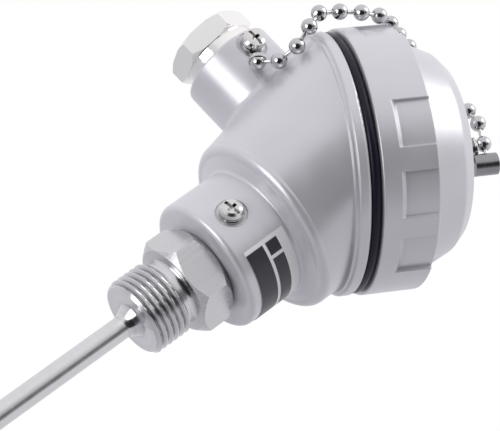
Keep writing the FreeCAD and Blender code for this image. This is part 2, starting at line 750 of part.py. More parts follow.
def make_gland_inside():
    """Washers and rubber seal that the gland screw presses together inside the entry."""
    fit = D["running_gap"]
    ring = D["entry_bore"] - fit
    hole = D["gland_bore"] + fit
    thickness = D["washer_thickness"]
    floor = D["entry_reach"] - D["entry_bore_depth"]
    back = outward(make_tube("gland_back_washer", hole, ring, thickness), floor)
    seal_length = D["entry_bore_depth"] - D["gland_spigot_length"] - thickness * 2 - PIN_POINT * 5
    seal = outward(make_tube("gland_seal", D["gland_bore"], ring, seal_length), floor + thickness)
    front = outward(
        make_tube("gland_thrust_washer", hole, ring, thickness),
        D["entry_reach"] - D["gland_spigot_length"] - thickness)
    return back, seal, front


def screw_body(label, head_radius, head_height, shank_radius, shank_length, slot_width, slot_depth):
    """Pan-head screw with a slot and a short cross slot; its head stands on the plane z = 0."""
    body = new_body(label)
    revolve(body, [
        (0, -shank_length),
        (shank_radius - 0.3, -shank_length),
        (shank_radius, -(shank_length - 0.3)),
        (shank_radius, 0),
        (head_radius, 0),
        (head_radius, head_height * 0.5),
        (head_radius * 0.86, head_height * 0.82),
        (head_radius * 0.6, head_height * 0.96),
        (0, head_height),
    ])
    half = slot_width * 0.5
    long_arm = head_radius * 0.78
    short_arm = head_radius * 0.45

    def draw(sketch):
        polygon(sketch, [
            (long_arm, -half), (long_arm, half), (half, half), (half, short_arm),
            (-half, short_arm), (-half, half), (-long_arm, half), (-long_arm, -half),
            (-half, -half), (-half, -short_arm), (half, -short_arm), (half, -half)])
    cut_upwards(body, draw, head_height - slot_depth, slot_depth + 1)
    return body


def outside_screw(label, length):
    return screw_body(
        label, D["screw_head_radius"], D["screw_head_height"], D["screw_shank_radius"], length,
        D["slot_width"], D["slot_depth"])


def inside_screw(label, length):
    return screw_body(
        label, D["inner_head_radius"], D["inner_head_height"], D["inner_shank_radius"], length,
        D["slot_width"] * 0.8, D["slot_depth"] * 0.8)


def spring_washer(label):
    """Split spring washer: a square-section ring with one cut."""
    body = new_body(label)
    inner = D["screw_shank_radius"] + 0.1
    outer = D["screw_head_radius"] + 0.15
    revolve(body, [
        (inner, 0), (outer, 0), (outer, D["spring_washer"]), (inner, D["spring_washer"])], angle=352, turn=40)
    return body


def make_eyelet(name, hole_gap, reach, cup_lift):
    """Chain end: a flat ring for the screw and a cup that grips the chain's last ball."""
    thickness = D["eyelet_thickness"]
    ring = cylinder(name + "_ring", D["eyelet_radius"], thickness)
    tongue = doc.addObject("Part::Box", name + "_tongue")
    bind(tongue, "Length", reach)
    bind(tongue, "Width", D["ball_radius"] * 1.2)
    bind(tongue, "Height", thickness)
    place(tongue, y=-(D["ball_radius"] * 0.6))
    cup = doc.addObject("Part::Sphere", name + "_cup")
    bind(cup, "Radius", D["ball_radius"] + thickness * 0.5)
    place(cup, x=reach, z=cup_lift)
    blank = doc.addObject("Part::MultiFuse", name + "_blank")
    blank.Shapes = [ring, tongue, cup]
    hole = place(cylinder(name + "_hole", D["screw_shank_radius"] + hole_gap, thickness + 2), z=-1)
    ball = doc.addObject("Part::Sphere", name + "_ball_space")
    bind(ball, "Radius", D["ball_radius"] + PIN_POINT)
    place(ball, x=reach, z=cup_lift)
    mouth = doc.addObject("Part::Box", name + "_mouth")
    bind(mouth, "Length", D["ball_radius"] * 2)
    bind(mouth, "Width", D["ball_radius"] * 3)
    bind(mouth, "Height", D["ball_radius"] * 3)
    place(mouth, x=reach, y=-(D["ball_radius"] * 1.5), z=cup_lift - D["ball_radius"] * 1.5)
    return cut(name, blank, [hole, ball, mouth])


def make_swivel():
    """Swivel on the cap's axis: a ring round the pin and a cup that holds the chain's last ball."""
    thickness = D["eyelet_thickness"]
    reach = D["swivel_reach"]
    ring = cylinder("Swivel_ring", D["eyelet_radius"], thickness)
    tongue = doc.addObject("Part::Box", "Swivel_tongue")
    bind(tongue, "Length", reach)
    bind(tongue, "Width", D["swivel_cup_radius"] * 1.5)
    bind(tongue, "Height", thickness)
    place(tongue, y=-(D["swivel_cup_radius"] * 0.75))
    cup = place(cylinder("Swivel_cup", D["swivel_cup_radius"], D["swivel_cup_height"]), x=reach)
    blank = doc.addObject("Part::MultiFuse", "Swivel_blank")
    blank.Shapes = [ring, tongue, cup]
    hole = place(
        cylinder("Swivel_hole", D["screw_shank_radius"] + D["sheath_fit"], thickness + 2), z=-1)
    head_space = place(
        cylinder("Swivel_head_space", D["pin_head_radius"] + D["running_gap"], D["swivel_cup_height"]),
        z=thickness)
    inside = place(
        cylinder("Swivel_inside", D["ball_radius"] + PIN_POINT * 5, D["swivel_cup_height"]),
        x=reach, z=D["swivel_cup_floor"])
    mouth = doc.addObject("Part::Box", "Swivel_mouth")
    bind(mouth, "Length", D["swivel_cup_radius"] * 1.2)
    bind(mouth, "Width", D["ball_radius"] * 1.2)
    bind(mouth, "Height", D["swivel_cup_height"])
    place(mouth, x=reach - D["swivel_cup_radius"] * 1.2, y=-(D["ball_radius"] * 0.6),
          z=D["swivel_cup_floor"] + D["ball_radius"] * 0.4)
    return tilted(cut("Swivel", blank, [hole, head_space, inside, mouth]), swivel_height)


def make_swivel_pin():
    """Pin that is pressed into the chain post and keeps the swivel under its flat head."""
    body = new_body("Swivel_pin")
    top = D["eyelet_thickness"] + D["running_gap"]
    head = top + D["pin_head_height"]
    low = -(D["running_gap"] + D["pin_length"])
    shank = D["screw_shank_radius"]
    revolve(body, [
        (0, low),
        (shank - 0.3, low),
        (shank, low + 0.3),
        (shank, top),
        (D["pin_head_radius"], top),
        (D["pin_head_radius"], head - 0.3),
        (D["pin_head_radius"] - 0.3, head),
        (0, head),
    ])
    return tilted(body, swivel_height)


def head_point(height, radius, angle):
    """A point given by its height, radius and angle about the cap's axis."""
    lean = math.radians(D["cap_tilt"].number)
    turn = math.radians(angle)
    along = radius * math.cos(turn)
    x = D["flange_offset"].number + height * math.sin(lean) + along * math.cos(lean)
    z = D["flange_height"].number + height * math.cos(lean) - along * math.sin(lean)
    return FreeCAD.Vector(x, radius * math.sin(turn), z)


eyelet_reach = D["eyelet_radius"] + D["ball_radius"] * 2.1
chain_eyelet_direction = -37.0
swivel_height = D["post_height"] + D["running_gap"]
last_ball_height = swivel_height + D["swivel_cup_floor"] + D["ball_radius"] + PIN_POINT


def eyelet_balls():
    """Centres of the two balls that the chain's cups hold."""
    azimuth = math.radians(D["chain_azimuth"].number)
    normal = FreeCAD.Vector(0, -math.cos(azimuth), math.sin(azimuth))
    sideways = FreeCAD.Vector(0, -math.sin(azimuth), -math.cos(azimuth))
    lean = math.radians(chain_eyelet_direction)
    along = FreeCAD.Vector(math.cos(lean), 0, 0) - sideways * math.sin(lean)
    lift = chain_seat.number + D["spring_washer"].number + D["ball_radius"].number
    base = FreeCAD.Vector(-D["chain_reach"].number, 0, D["entry_height"].number) + normal * lift
    first = base + along * eyelet_reach.number
    last = head_point(last_ball_height.number, D["swivel_reach"].number, 0)
    return first, last


# Points of the chain's way from the flange to the swivel. Each is a share of the last ball's height
# above the flange face, a share of the cap's radius, and an angle about the cap's axis.
CHAIN_ROUTE = (
    (-0.236, 0.893, -134.0),
    (-0.144, 1.019, -134.7),
    (-0.013, 1.132, -142.7),
    (0.081, 1.128, -144.0),
    (0.186, 1.110, -144.8),
    (0.324, 1.087, -147.0),
    (0.444, 1.040, -152.5),
    (0.570, 0.946, -164.4),
    (0.690, 0.877, -176.1),
    (0.818, 0.802, 168.0),
    (0.889, 0.622, 160.0),
    (0.955, 0.441, 164.0),
    (1.0, 0.288, 180.0),
    (1.0, 0.141, 180.0),
    (1.0, 0.006, 180.0),
)
# The chain's first bend, in pitches of the chain from the ball in the eyelet's cup.
FIRST_BEND = (0.674, -0.498, 0.426)


def chain_curve():
    """Line of the ball chain: over the flange and the grip band, then across the crown."""
    first, last = eyelet_balls()
    bend = first + FreeCAD.Vector(*FIRST_BEND) * D["ball_pitch"].number
    points = [first, bend]
    for height, radius, angle in CHAIN_ROUTE:
        points.append(head_point(last_ball_height.number * height, D["cap_radius"].number * radius, angle))
    points.append(last)
    curve = Part.BSplineCurve()
    curve.interpolate(points)
    return curve


def chain_places():
    """Ball centres, evenly spaced along the chain, and the direction of each link."""
    curve = chain_curve()
    length = curve.length()
    count = int(round(length / D["ball_pitch"].number))
    step = length / count
    return [curve.value(curve.parameterAtDistance(step * i)) for i in range(count + 1)], step, length


def make_chain():
    """Ball chain: hollow-looking balls joined by short links."""
    places, step, length = chain_places()
    balls = []
    for number, spot in enumerate(places, start=1):
        ball = doc.addObject("Part::Sphere", "ball_%d" % number)
        bind(ball, "Radius", D["ball_radius"])
        place(ball, spot.x, spot.y, spot.z)
        balls.append(ball)
    links = []
    for number in range(len(places) - 1):
        gap = places[number + 1] - places[number]
        direction = FreeCAD.Vector(gap).normalize()
        link = doc.addObject("Part::Cylinder", "link_%d" % (number + 1))
        bind(link, "Radius", D["link_radius"])
        bind(link, "Height", as_size(gap.Length) - D["ball_radius"] * 2)
        start = places[number] + direction * D["ball_radius"].number
        link.Placement = FreeCAD.Placement(start, FreeCAD.Rotation(FreeCAD.Vector(0, 0, 1), direction))
        links.append(link)
    print("chain: %d balls, %.2f mm apart, %.1f mm long" % (len(places), step, length))
    return group("chain_balls", balls), group("chain_links", links)


def make_terminal_block():
    """Ceramic terminal block with pockets for its terminals and a hole for the wires."""
    disc = place(cylinder("block_disc", D["block_radius"], D["block_height"]), z=pillar_top)
    tools = [place(cylinder("block_wire_hole", D["block_hole"], D["block_height"] + 2), z=pillar_top - 1)]
    pocket_side = D["terminal_size"] + D["terminal_fit"] * 2
    for number, angle in enumerate(TERMINAL_ANGLES, start=1):
        pocket = doc.addObject("Part::Box", "block_pocket_%d" % number)
        bind(pocket, "Length", pocket_side)
        bind(pocket, "Width", pocket_side)
        bind(pocket, "Height", D["terminal_height"] + 1)
        tools.append(at_terminal(pocket, angle, block_top - D["terminal_height"] + 0.3, pocket_side * 0.5))
    for side in (1, -1):
        radius = D["inner_shank_radius"] + 0.1
        hole = cylinder("block_screw_hole_%d" % (side + 2), radius, D["block_height"] + 2)
        tools.append(place(hole, y=D["pillar_spread"] * side, z=pillar_top - 1))
        seat = cylinder("block_screw_seat_%d" % (side + 2), D["inner_head_radius"] + 0.4, D["block_height"])
        tools.append(place(seat, y=D["pillar_spread"] * side, z=block_top - D["inner_head_height"] - 0.5))
    return cut("Block", disc, tools)


def at_terminal(obj, angle, height, half):
    """Put a square-based object so that its middle is on a terminal, turned to face the axis."""
    turn = math.radians(angle)
    spread = D["terminal_spread"]
    half = as_size(half)
    x = spread * math.cos(turn) - half * math.cos(turn) + half * math.sin(turn)
    y = spread * math.sin(turn) - half * math.sin(turn) - half * math.cos(turn)
    return place(obj, x=x, y=y, z=height, angle=angle)


terminal_floor = block_top - D["terminal_height"] + 0.3
terminal_top = terminal_floor + D["terminal_height"]
clamp_height = terminal_top + D["wire_radius"] * 2


def make_terminals():
    """Brass terminals with their screws, one for each place on the block."""
    posts = []
    screws = []
    for number, angle in enumerate(TERMINAL_ANGLES, start=1):
        blank = doc.addObject("Part::Box", "terminal_blank_%d" % number)
        bind(blank, "Length", D["terminal_size"])
        bind(blank, "Width", D["terminal_size"])
        bind(blank, "Height", D["terminal_height"])
        at_terminal(blank, angle, terminal_floor, D["terminal_size"] * 0.5)
        hole = cylinder("terminal_hole_%d" % number, D["inner_shank_radius"] + PIN_POINT, D["terminal_height"])
        at_terminal(hole, angle, terminal_floor + 0.8, 0)
        posts.append(cut("terminal_%d" % number, blank, [hole]))
        screw = inside_screw("terminal_screw_%d" % number, D["terminal_height"] - 0.4)
        screws.append(at_terminal(screw, angle, clamp_height, 0))
    return group("terminal_bodies", posts), group("terminal_screws", screws)


def make_block_screws():
    """Two screws that hold the block down on its pillars."""
    seat = block_top - D["inner_head_height"] - 0.5
    length = seat - D["floor_height"] - 0.6
    screws = []
    for side in (1, -1):
        screw = inside_screw("block_screw_%d" % (side + 2), length)
        screws.append(place(screw, y=D["pillar_spread"] * side, z=seat))
    return group("block_screws", screws)


def make_lead_wires():
    """Three lead wires from the sheath's end, through the block, to their terminals."""
    radius = D["wire_radius"].number
    bend = D["wire_bend"].number
    low = D["sheath_top"].number + PIN_POINT
    high = terminal_top.number + radius
    near_axis = D["wire_circle"].number
    reach = D["terminal_spread"].number - D["inner_shank_radius"].number - 0.1
    wires = []
    for angle in WIRED_TERMINALS:
        turn = math.radians(angle)

        def spot(distance, height):
            return FreeCAD.Vector(distance * math.cos(turn), distance * math.sin(turn), height)
        start = spot(near_axis, low)
        bend_start = spot(near_axis, high - bend)
        middle = spot(near_axis + bend * (1 - math.cos(math.pi / 4)), high - bend * (1 - math.sin(math.pi / 4)))
        bend_end = spot(near_axis + bend, high)
        path = Part.Wire([
            Part.LineSegment(start, bend_start).toShape(),
            Part.Arc(bend_start, middle, bend_end).toShape(),
            Part.LineSegment(bend_end, spot(reach, high)).toShape()])
        section = Part.Wire([Part.Circle(start, FreeCAD.Vector(0, 0, 1), radius).toShape()])
        wires.append(path.makePipeShell([section], True, False))
    item = doc.addObject("Part::Feature", "Lead_wires")
    item.Shape = Part.makeCompound(wires)
    return item


def make_inside_sheath():
    """Sensing element, insulator, resin plug and measuring wires inside the sheath."""
    floor = tip + D["sheath_wall"] * 2
    element_top = floor + D["element_length"]
    plug_bottom = D["sheath_top"] - D["potting_length"]
    clear = PIN_POINT * 2
    element = place(cylinder("Element", D["element_radius"], D["element_length"]), z=floor)
    spots = []
    for angle in WIRED_TERMINALS:
        turn = math.radians(angle)
        spots.append((D["wire_circle"] * math.cos(turn), D["wire_circle"] * math.sin(turn)))

    def drilled(name, radius, bottom, top):
        rod = place(cylinder(name + "_rod", radius, top - bottom), z=bottom)
        holes = []
        for number, (x, y) in enumerate(spots, start=1):
            hole = cylinder("%s_hole_%d" % (name, number), D["core_radius"] + PIN_POINT, top - bottom + 2)
            holes.append(place(hole, x=x, y=y, z=bottom - 1))
        return cut(name, rod, holes)
    insulator = drilled("Insulator", D["insulator_radius"], element_top, plug_bottom)
    potting = drilled("Potting", D["sheath_radius"] - D["sheath_wall"] - clear, plug_bottom, D["sheath_top"])
    cores = []
    for number, (x, y) in enumerate(spots, start=1):
        core = cylinder("core_%d" % number, D["core_radius"], D["sheath_top"] - element_top)
        cores.append(place(core, x=x, y=y, z=element_top))
    return element, insulator, potting, group("element_leads", cores)


def make_label():
    """Printed label wrapped round the neck."""
    body = new_body("neck_label")
    inner = D["neck_radius"] + PIN_POINT
    outer = inner + D["label_thickness"]
    low = neck_bottom + D["label_start"]
    high = low + D["label_width"]
    revolve(
        body, [(inner, low), (outer, low), (outer, high), (inner, high)],
        angle=D["label_span"], turn=D["label_first"])
    return body


def build():
    keep("sensor_sheath", make_sheath())
    keep("process_fitting", make_fitting())
    keep("sheath_weld", make_weld())
    keep("head_casting", make_head())
    keep("screw_cap", make_cap())
    keep("cap_seal", make_seal())
    keep("gland_screw", make_gland_screw())
    back, seal, front = make_gland_inside()
    keep("gland_back_washer", back)
    keep("gland_seal", seal)
    keep("gland_thrust_washer", front)
    keep("earth_spring_washer", across_neck(spring_washer("earth_spring_washer"), earth_seat))
    keep("earth_screw", across_neck(
        outside_screw("earth_screw", D["earth_screw_length"] - 0.5), earth_seat + D["spring_washer"]))
    keep("chain_spring_washer", across_entry(spring_washer("chain_spring_washer"), chain_seat))
    eyelet_seat = chain_seat + D["spring_washer"]
    keep("chain_screw", across_entry(
        outside_screw("chain_screw", D["chain_screw_length"]), eyelet_seat + D["eyelet_thickness"]))
    head_eyelet = make_eyelet("Head_eyelet", 0.1, eyelet_reach, D["ball_radius"])
    across_entry(head_eyelet, eyelet_seat)
    azimuth = math.radians(D["chain_azimuth"].number)
    lean = math.radians(chain_eyelet_direction)
    out = FreeCAD.Vector(0, -math.cos(azimuth), math.sin(azimuth))
    sideways = FreeCAD.Vector(0, -math.sin(azimuth), -math.cos(azimuth))
    along = FreeCAD.Vector(math.cos(lean), 0, 0) - sideways * math.sin(lean)
    head_eyelet.Placement.Rotation = FreeCAD.Rotation(along, out.cross(along), out, "ZXY")
    keep("chain_eyelet_head", head_eyelet)
    keep("chain_swivel", make_swivel())
    keep("swivel_pin", make_swivel_pin())
    balls, links = make_chain()
    keep("chain_balls", balls)
    keep("chain_links", links)
    keep("terminal_block", make_terminal_block())
    bodies, screws = make_terminals()
    keep("terminal_bodies", bodies)
    keep("terminal_screws", screws)
    keep("block_screws", make_block_screws())
    keep("lead_wires", make_lead_wires())
    element, insulator, potting, cores = make_inside_sheath()
    keep("sensing_element", element)
    keep("sheath_insulator", insulator)
    keep("sheath_potting", potting)
    keep("element_leads", cores)
    keep("neck_label", make_label())


build()
doc.recompute()
for item in doc.Objects:
    if "Invalid" in item.State or "Error" in item.State:
        raise ValueError("%s is in state %s" % (item.Label, item.State))
os.makedirs("parts", exist_ok=True)
for label, item in nodes.items():
    shape = item.Shape
    if shape.isNull() or not shape.isValid() or not shape.Solids:
        raise ValueError("%s has no valid solid" % label)
    shape.exportStep("parts/%s.step" % label)
    print("%-22s %2d solids %12.2f mm3" % (label, len(shape.Solids), shape.Volume))
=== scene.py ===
# %% [markdown]
# # A temperature probe with a die-cast head
#
# The probe has a slim steel sheath, a turned fitting with a pipe thread and a hexagon, and a painted
# aluminium head. The head's cap screws on at a slant, a gland takes the cable, and a ball chain keeps
# the cap from getting lost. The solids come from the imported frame, so this lesson adds the finishes,
# the thread, the chain and the studio. Everything is in metres and shares the frame's axes.

# %% Load the frame and the tools
import math

import bmesh
import bpy
from mathutils import Matrix, Vector
from mathutils.bvhtree import BVHTree


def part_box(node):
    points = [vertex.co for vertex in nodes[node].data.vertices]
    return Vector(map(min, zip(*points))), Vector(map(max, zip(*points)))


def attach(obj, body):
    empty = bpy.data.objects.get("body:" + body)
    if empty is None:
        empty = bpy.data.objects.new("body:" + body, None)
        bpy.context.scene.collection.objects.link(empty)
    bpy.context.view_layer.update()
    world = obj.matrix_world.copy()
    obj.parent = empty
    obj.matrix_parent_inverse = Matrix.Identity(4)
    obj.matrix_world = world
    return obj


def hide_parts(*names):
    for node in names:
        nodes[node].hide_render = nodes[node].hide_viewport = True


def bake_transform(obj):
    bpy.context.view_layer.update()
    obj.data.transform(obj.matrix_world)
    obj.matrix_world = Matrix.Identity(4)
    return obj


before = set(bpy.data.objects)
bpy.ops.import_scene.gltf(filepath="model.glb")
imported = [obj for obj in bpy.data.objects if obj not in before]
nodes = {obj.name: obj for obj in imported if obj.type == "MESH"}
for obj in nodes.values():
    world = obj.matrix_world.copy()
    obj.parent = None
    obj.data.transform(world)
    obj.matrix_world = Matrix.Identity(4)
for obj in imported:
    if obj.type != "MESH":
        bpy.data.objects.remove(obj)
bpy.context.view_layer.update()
MM = 0.001
MM_PER_METRE = 1000.0

# %% [markdown]
# ## Camera
#
# The photograph looks up at the head from below the thread, so the sheath runs towards the lower left.
# A camera can be placed by a target and a distance, or by its three directions. The directions are
# used here, because they also fix how far the picture is rolled.

# %% Camera
RIGHT = Vector((0.6575, -0.1425, 0.7399)).normalized()
UP = Vector((-0.6992, -0.4812, 0.5287)).normalized()
TOWARDS = RIGHT.cross(UP).normalized()
UP = TOWARDS.cross(RIGHT)
EYE = Vector((0.1463, -0.4641, -0.1905))
SENSOR_WIDTH = 36.0
LENS = 149.2

camera_data = bpy.data.cameras.new("camera")
camera_data.sensor_width = SENSOR_WIDTH
camera_data.sensor_fit = "HORIZONTAL"
camera_data.lens = LENS
camera_data.clip_start = 0.01
camera = bpy.data.objects.new("camera", camera_data)
turn = Matrix((RIGHT, UP, TOWARDS)).transposed()
camera.matrix_world = Matrix.Translation(EYE) @ turn.to_4x4()
bpy.context.scene.collection.objects.link(camera)
bpy.context.scene.camera = camera
print("camera distance:", round(EYE.length, 3), "m")

# %% [markdown]
# ## Studio
#
# Bright metal shows its surroundings more than its own colour, so the room matters as much as the
# lamps. Two soft panels light the painted head: the left one gives the broad bands on the bell and the
# entry boss, and the right one lights the cap. They are placed by the picture's own directions,
# because the light on the object was arranged for that view.

# %% Lamps
LAMP_DISTANCE = 0.7
LIT_POINT = Vector((0.0, 0.0, 0.04))


def panel(name, way, width, height, power):
    """A soft rectangular lamp that faces the object, placed along a direction from it."""
    way = way.normalized()
    data = bpy.data.lights.new(name, "AREA")
    data.shape = "RECTANGLE"
    data.size = width
    data.size_y = height
    data.energy = power
    lamp = bpy.data.objects.new(name, data)
    facing = way.to_track_quat("Z", "Y").to_matrix().to_4x4()
    lamp.matrix_world = Matrix.Translation(LIT_POINT + way * LAMP_DISTANCE) @ facing
    bpy.context.scene.collection.objects.link(lamp)
    print(name, "at", [round(v, 2) for v in lamp.matrix_world.translation])


panel("left_panel", RIGHT * -0.67 + UP * 0.10 + TOWARDS * 0.73, width=0.46, height=0.40, power=1.8)
panel("right_panel", RIGHT * 0.80 + UP * 0.57 + TOWARDS * 0.02, width=0.40, height=0.40, power=1.5)

# %% [markdown]
# The room is a tent that grows brighter towards one side, so a round shape shades from side to side.
# A tent that is white all round would make the metal look like plaster. A dark gap behind the camera
# and a smaller one beside it give the metal its dark bands. Only the camera's own rays see plain white
# paper, as in the photograph.

# %% Node helpers
world = bpy.data.worlds.new("studio")
bpy.context.scene.world = world
world.use_nodes = True
room = world.node_tree
room.nodes.clear()


def add(tree, kind, **settings):
    """One node with its properties and its unlinked inputs set by name."""
    node = tree.nodes.new(kind)
    for key, value in settings.pop("inputs", {}).items():
        node.inputs[key].default_value = value
    for key, value in settings.items():
        setattr(node, key, value)
    return node


def link(tree, source, target):
    """Join one node's output to another node's input."""
    tree.links.new(source, target)


coords = add(room, "ShaderNodeTexCoord")


def room_aim(way):
    """How far each direction in the room points along a given one, from -1 to 1."""
    aim = add(room, "ShaderNodeVectorMath", operation="DOT_PRODUCT")
    link(room, coords.outputs["Generated"], aim.inputs[0])
    aim.inputs[1].default_value = way.normalized()
    return aim.outputs["Value"]


# %% Tent
ROOM_STEPS = ((0.00, 0.48), (0.25, 0.64), (0.45, 0.80), (0.70, 0.92), (1.00, 1.00))
BRIGHT_SIDE = UP * 0.70 + RIGHT * 0.45 - TOWARDS * 0.30
LESS_GREEN = 0.99
MORE_BLUE = 1.01
BLUE_IN_SHADE = 0.12

span = add(room, "ShaderNodeMapRange", inputs={"From Min": -1.0, "From Max": 1.0})
link(room, room_aim(BRIGHT_SIDE), span.inputs["Value"])
ramp = add(room, "ShaderNodeValToRGB")
ramp.color_ramp.interpolation = "B_SPLINE"
elements = ramp.color_ramp.elements
elements.remove(elements[1])
for place, (position, level) in enumerate(ROOM_STEPS):
    element = elements[0] if place == 0 else elements.new(position)
    element.position = position
    blue = MORE_BLUE + BLUE_IN_SHADE * (1 - level)
    element.color = (level, level * LESS_GREEN, level * blue, 1.0)
link(room, span.outputs["Result"], ramp.inputs["Fac"])
print("tent steps:", len(elements))


# %% Dark gaps
def dark_gap(way, rim_degrees, core_degrees, level):
    """A round dark patch in the room: full dark inside the core, none outside the rim."""
    fade = add(room, "ShaderNodeMapRange", interpolation_type="SMOOTHSTEP", inputs={
        "From Min": math.cos(math.radians(rim_degrees)),
        "From Max": math.cos(math.radians(core_degrees)),
        "To Min": 1.0, "To Max": level})
    link(room, room_aim(way), fade.inputs["Value"])
    return fade.outputs["Result"]


behind_camera = dark_gap(
    TOWARDS - UP * 0.12 + RIGHT * 0.06, rim_degrees=47, core_degrees=31, level=0.04)
beside_camera = dark_gap(
    RIGHT * 0.84 + UP * 0.02 + TOWARDS * 0.54, rim_degrees=27, core_degrees=6, level=0.22)
both_gaps = add(room, "ShaderNodeMath", operation="MULTIPLY")
link(room, behind_camera, both_gaps.inputs[0])
link(room, beside_camera, both_gaps.inputs[1])

# %% What the object sees, and what the camera sees
WHITE = (1.0, 1.0, 1.0, 1.0)

shade = add(room, "ShaderNodeVectorMath", operation="SCALE")
link(room, ramp.outputs["Color"], shade.inputs[0])
link(room, both_gaps.outputs["Value"], shade.inputs["Scale"])
tent = add(room, "ShaderNodeBackground", inputs={"Strength": 1.0})
link(room, shade.outputs["Vector"], tent.inputs["Color"])
paper = add(room, "ShaderNodeBackground", inputs={"Color": WHITE, "Strength": 1.0})
eye_ray = add(room, "ShaderNodeLightPath")
choose = add(room, "ShaderNodeMixShader")
link(room, eye_ray.outputs["Is Camera Ray"], choose.inputs["Fac"])
link(room, tent.outputs["Background"], choose.inputs[1])
link(room, paper.outputs["Background"], choose.inputs[2])
sky = add(room, "ShaderNodeOutputWorld")
link(room, choose.outputs["Shader"], sky.inputs["Surface"])
bpy.context.scene.view_settings.view_transform = "Standard"
print("room nodes:", len(room.nodes))

# %% [markdown]
# The floor is a pale sheet well below the sheath's tip. The photograph looks up past it, but the side
# views stand the probe over it, as it would hang over a bench. Its ray visibility is cut down to the
# camera, because a pale sheet under the probe would hide the room's dark gap from the polished metal.

# %% Floor
FLOOR_LEVEL = -0.26
FLOOR_HALF = 3.0


def new_mesh(name, points, faces):
    """A mesh object from points in metres."""
    data = bpy.data.meshes.new(name)
    data.from_pydata([tuple(p) for p in points], [], faces)
    data.validate()
    obj = bpy.data.objects.new(name, data)
    bpy.context.scene.collection.objects.link(obj)
    return obj


corners = [
    (x * FLOOR_HALF, y * FLOOR_HALF, FLOOR_LEVEL) for x, y in ((-1, -1), (1, -1), (1, 1), (-1, 1))]
floor = new_mesh("floor", corners, [(0, 1, 2, 3)])
floor.visible_glossy = False
floor.visible_diffuse = False
floor.visible_shadow = False
print("floor at", FLOOR_LEVEL, "m")

# %% [markdown]
# ## Shared effects
#
# Several finishes share an effect: a fine grain with slow stains, the rings that a turning tool
# leaves, and the long lines of drawn bar. Each effect is a node group with named inputs, so one recipe
# serves many materials, each with its own values.


# %% Effect helpers
def effect(name, inputs, outputs):
    """An empty shader group with float or vector sockets."""
    group = bpy.data.node_groups.new(name, "ShaderNodeTree")
    kinds = {"float": "NodeSocketFloat", "vector": "NodeSocketVector"}
    for label, kind, value in inputs:
        socket = group.interface.new_socket(label, in_out="INPUT", socket_type=kinds[kind])
        socket.default_value = value
    for label, kind in outputs:
        group.interface.new_socket(label, in_out="OUTPUT", socket_type=kinds[kind])
    return group, group.nodes.new("NodeGroupInput"), group.nodes.new("NodeGroupOutput")


def maths(tree, operation, a, b=None, clamp=False):
    """One maths node; each input is a number or another node's output."""
    node = add(tree, "ShaderNodeMath", operation=operation, use_clamp=clamp)
    for slot_number, value in enumerate((a, b)):
        if value is None:
            continue
        if isinstance(value, (int, float)):
            node.inputs[slot_number].default_value = value
        else:
            link(tree, value, node.inputs[slot_number])
    return node.outputs[0]


# %% [markdown]
# Sprayed paint, ceramic, rubber and film are never quite smooth or quite even. A bought scan could
# show that, but two noises are enough: a fine one gives the height, and a slow one gives the stains.

# %% Grain
grain, grain_in, grain_out = effect(
    "grain",
    [("Size mm", "float", 0.5), ("Stain size mm", "float", 12.0)],
    [("Height", "float"), ("Stain", "float")])
spot = add(grain, "ShaderNodeTexCoord")
fine = add(grain, "ShaderNodeTexNoise", inputs={"Detail": 3.0, "Roughness": 0.6})
slow = add(grain, "ShaderNodeTexNoise", inputs={"Detail": 2.0, "Roughness": 0.5})
for texture, label in ((fine, "Size mm"), (slow, "Stain size mm")):
    link(grain, spot.outputs["Object"], texture.inputs["Vector"])
    scale = maths(grain, "DIVIDE", MM_PER_METRE, grain_in.outputs[label])
    link(grain, scale, texture.inputs["Scale"])
link(grain, fine.outputs["Fac"], grain_out.inputs["Height"])
link(grain, slow.outputs["Fac"], grain_out.inputs["Stain"])

# %% [markdown]
# A turned piece has fine rings about its axis, where the tool went round. They are a noise along one
# number: the height along the axis plus the distance from it, so they show on flat ends as well as on
# round sides. The centre and the axis are inputs, because the gland is turned about another axis.

# %% Tool rings
rings, rings_in, rings_out = effect(
    "tool_rings",
    [("Centre", "vector", (0.0, 0.0, 0.0)), ("Axis", "vector", (0.0, 0.0, 1.0)),
     ("Pitch mm", "float", 0.25)],
    [("Height", "float"), ("Tone", "float")])
spot = add(rings, "ShaderNodeTexCoord")
offset = add(rings, "ShaderNodeVectorMath", operation="SUBTRACT")
link(rings, spot.outputs["Object"], offset.inputs[0])
link(rings, rings_in.outputs["Centre"], offset.inputs[1])
along = add(rings, "ShaderNodeVectorMath", operation="DOT_PRODUCT")
link(rings, offset.outputs["Vector"], along.inputs[0])
link(rings, rings_in.outputs["Axis"], along.inputs[1])
reach = add(rings, "ShaderNodeVectorMath", operation="LENGTH")
link(rings, offset.outputs["Vector"], reach.inputs[0])
height_sq = maths(rings, "MULTIPLY", along.outputs["Value"], along.outputs["Value"])
reach_sq = maths(rings, "MULTIPLY", reach.outputs["Value"], reach.outputs["Value"])
radius_sq = maths(rings, "MAXIMUM", maths(rings, "SUBTRACT", reach_sq, height_sq), 0.0)
travel = maths(rings, "ADD", along.outputs["Value"], maths(rings, "SQRT", radius_sq))
travel_mm = maths(rings, "MULTIPLY", travel, MM_PER_METRE)
steps = maths(rings, "DIVIDE", travel_mm, rings_in.outputs["Pitch mm"])
pair = add(rings, "ShaderNodeCombineXYZ")
link(rings, steps, pair.inputs["X"])
tool = add(rings, "ShaderNodeTexNoise", inputs={"Scale": 1.0, "Detail": 2.0, "Roughness": 0.7})
link(rings, pair.outputs["Vector"], tool.inputs["Vector"])
link(rings, tool.outputs["Fac"], rings_out.inputs["Height"])
broad = add(rings, "ShaderNodeTexNoise", inputs={"Scale": 0.13, "Detail": 1.0})
link(rings, pair.outputs["Vector"], broad.inputs["Vector"])
link(rings, broad.outputs["Fac"], rings_out.inputs["Tone"])

# %% [markdown]
# The hexagon's flats are drawn bar, so their scratches run along the probe. A noise that is stretched
# along one direction gives such lines.

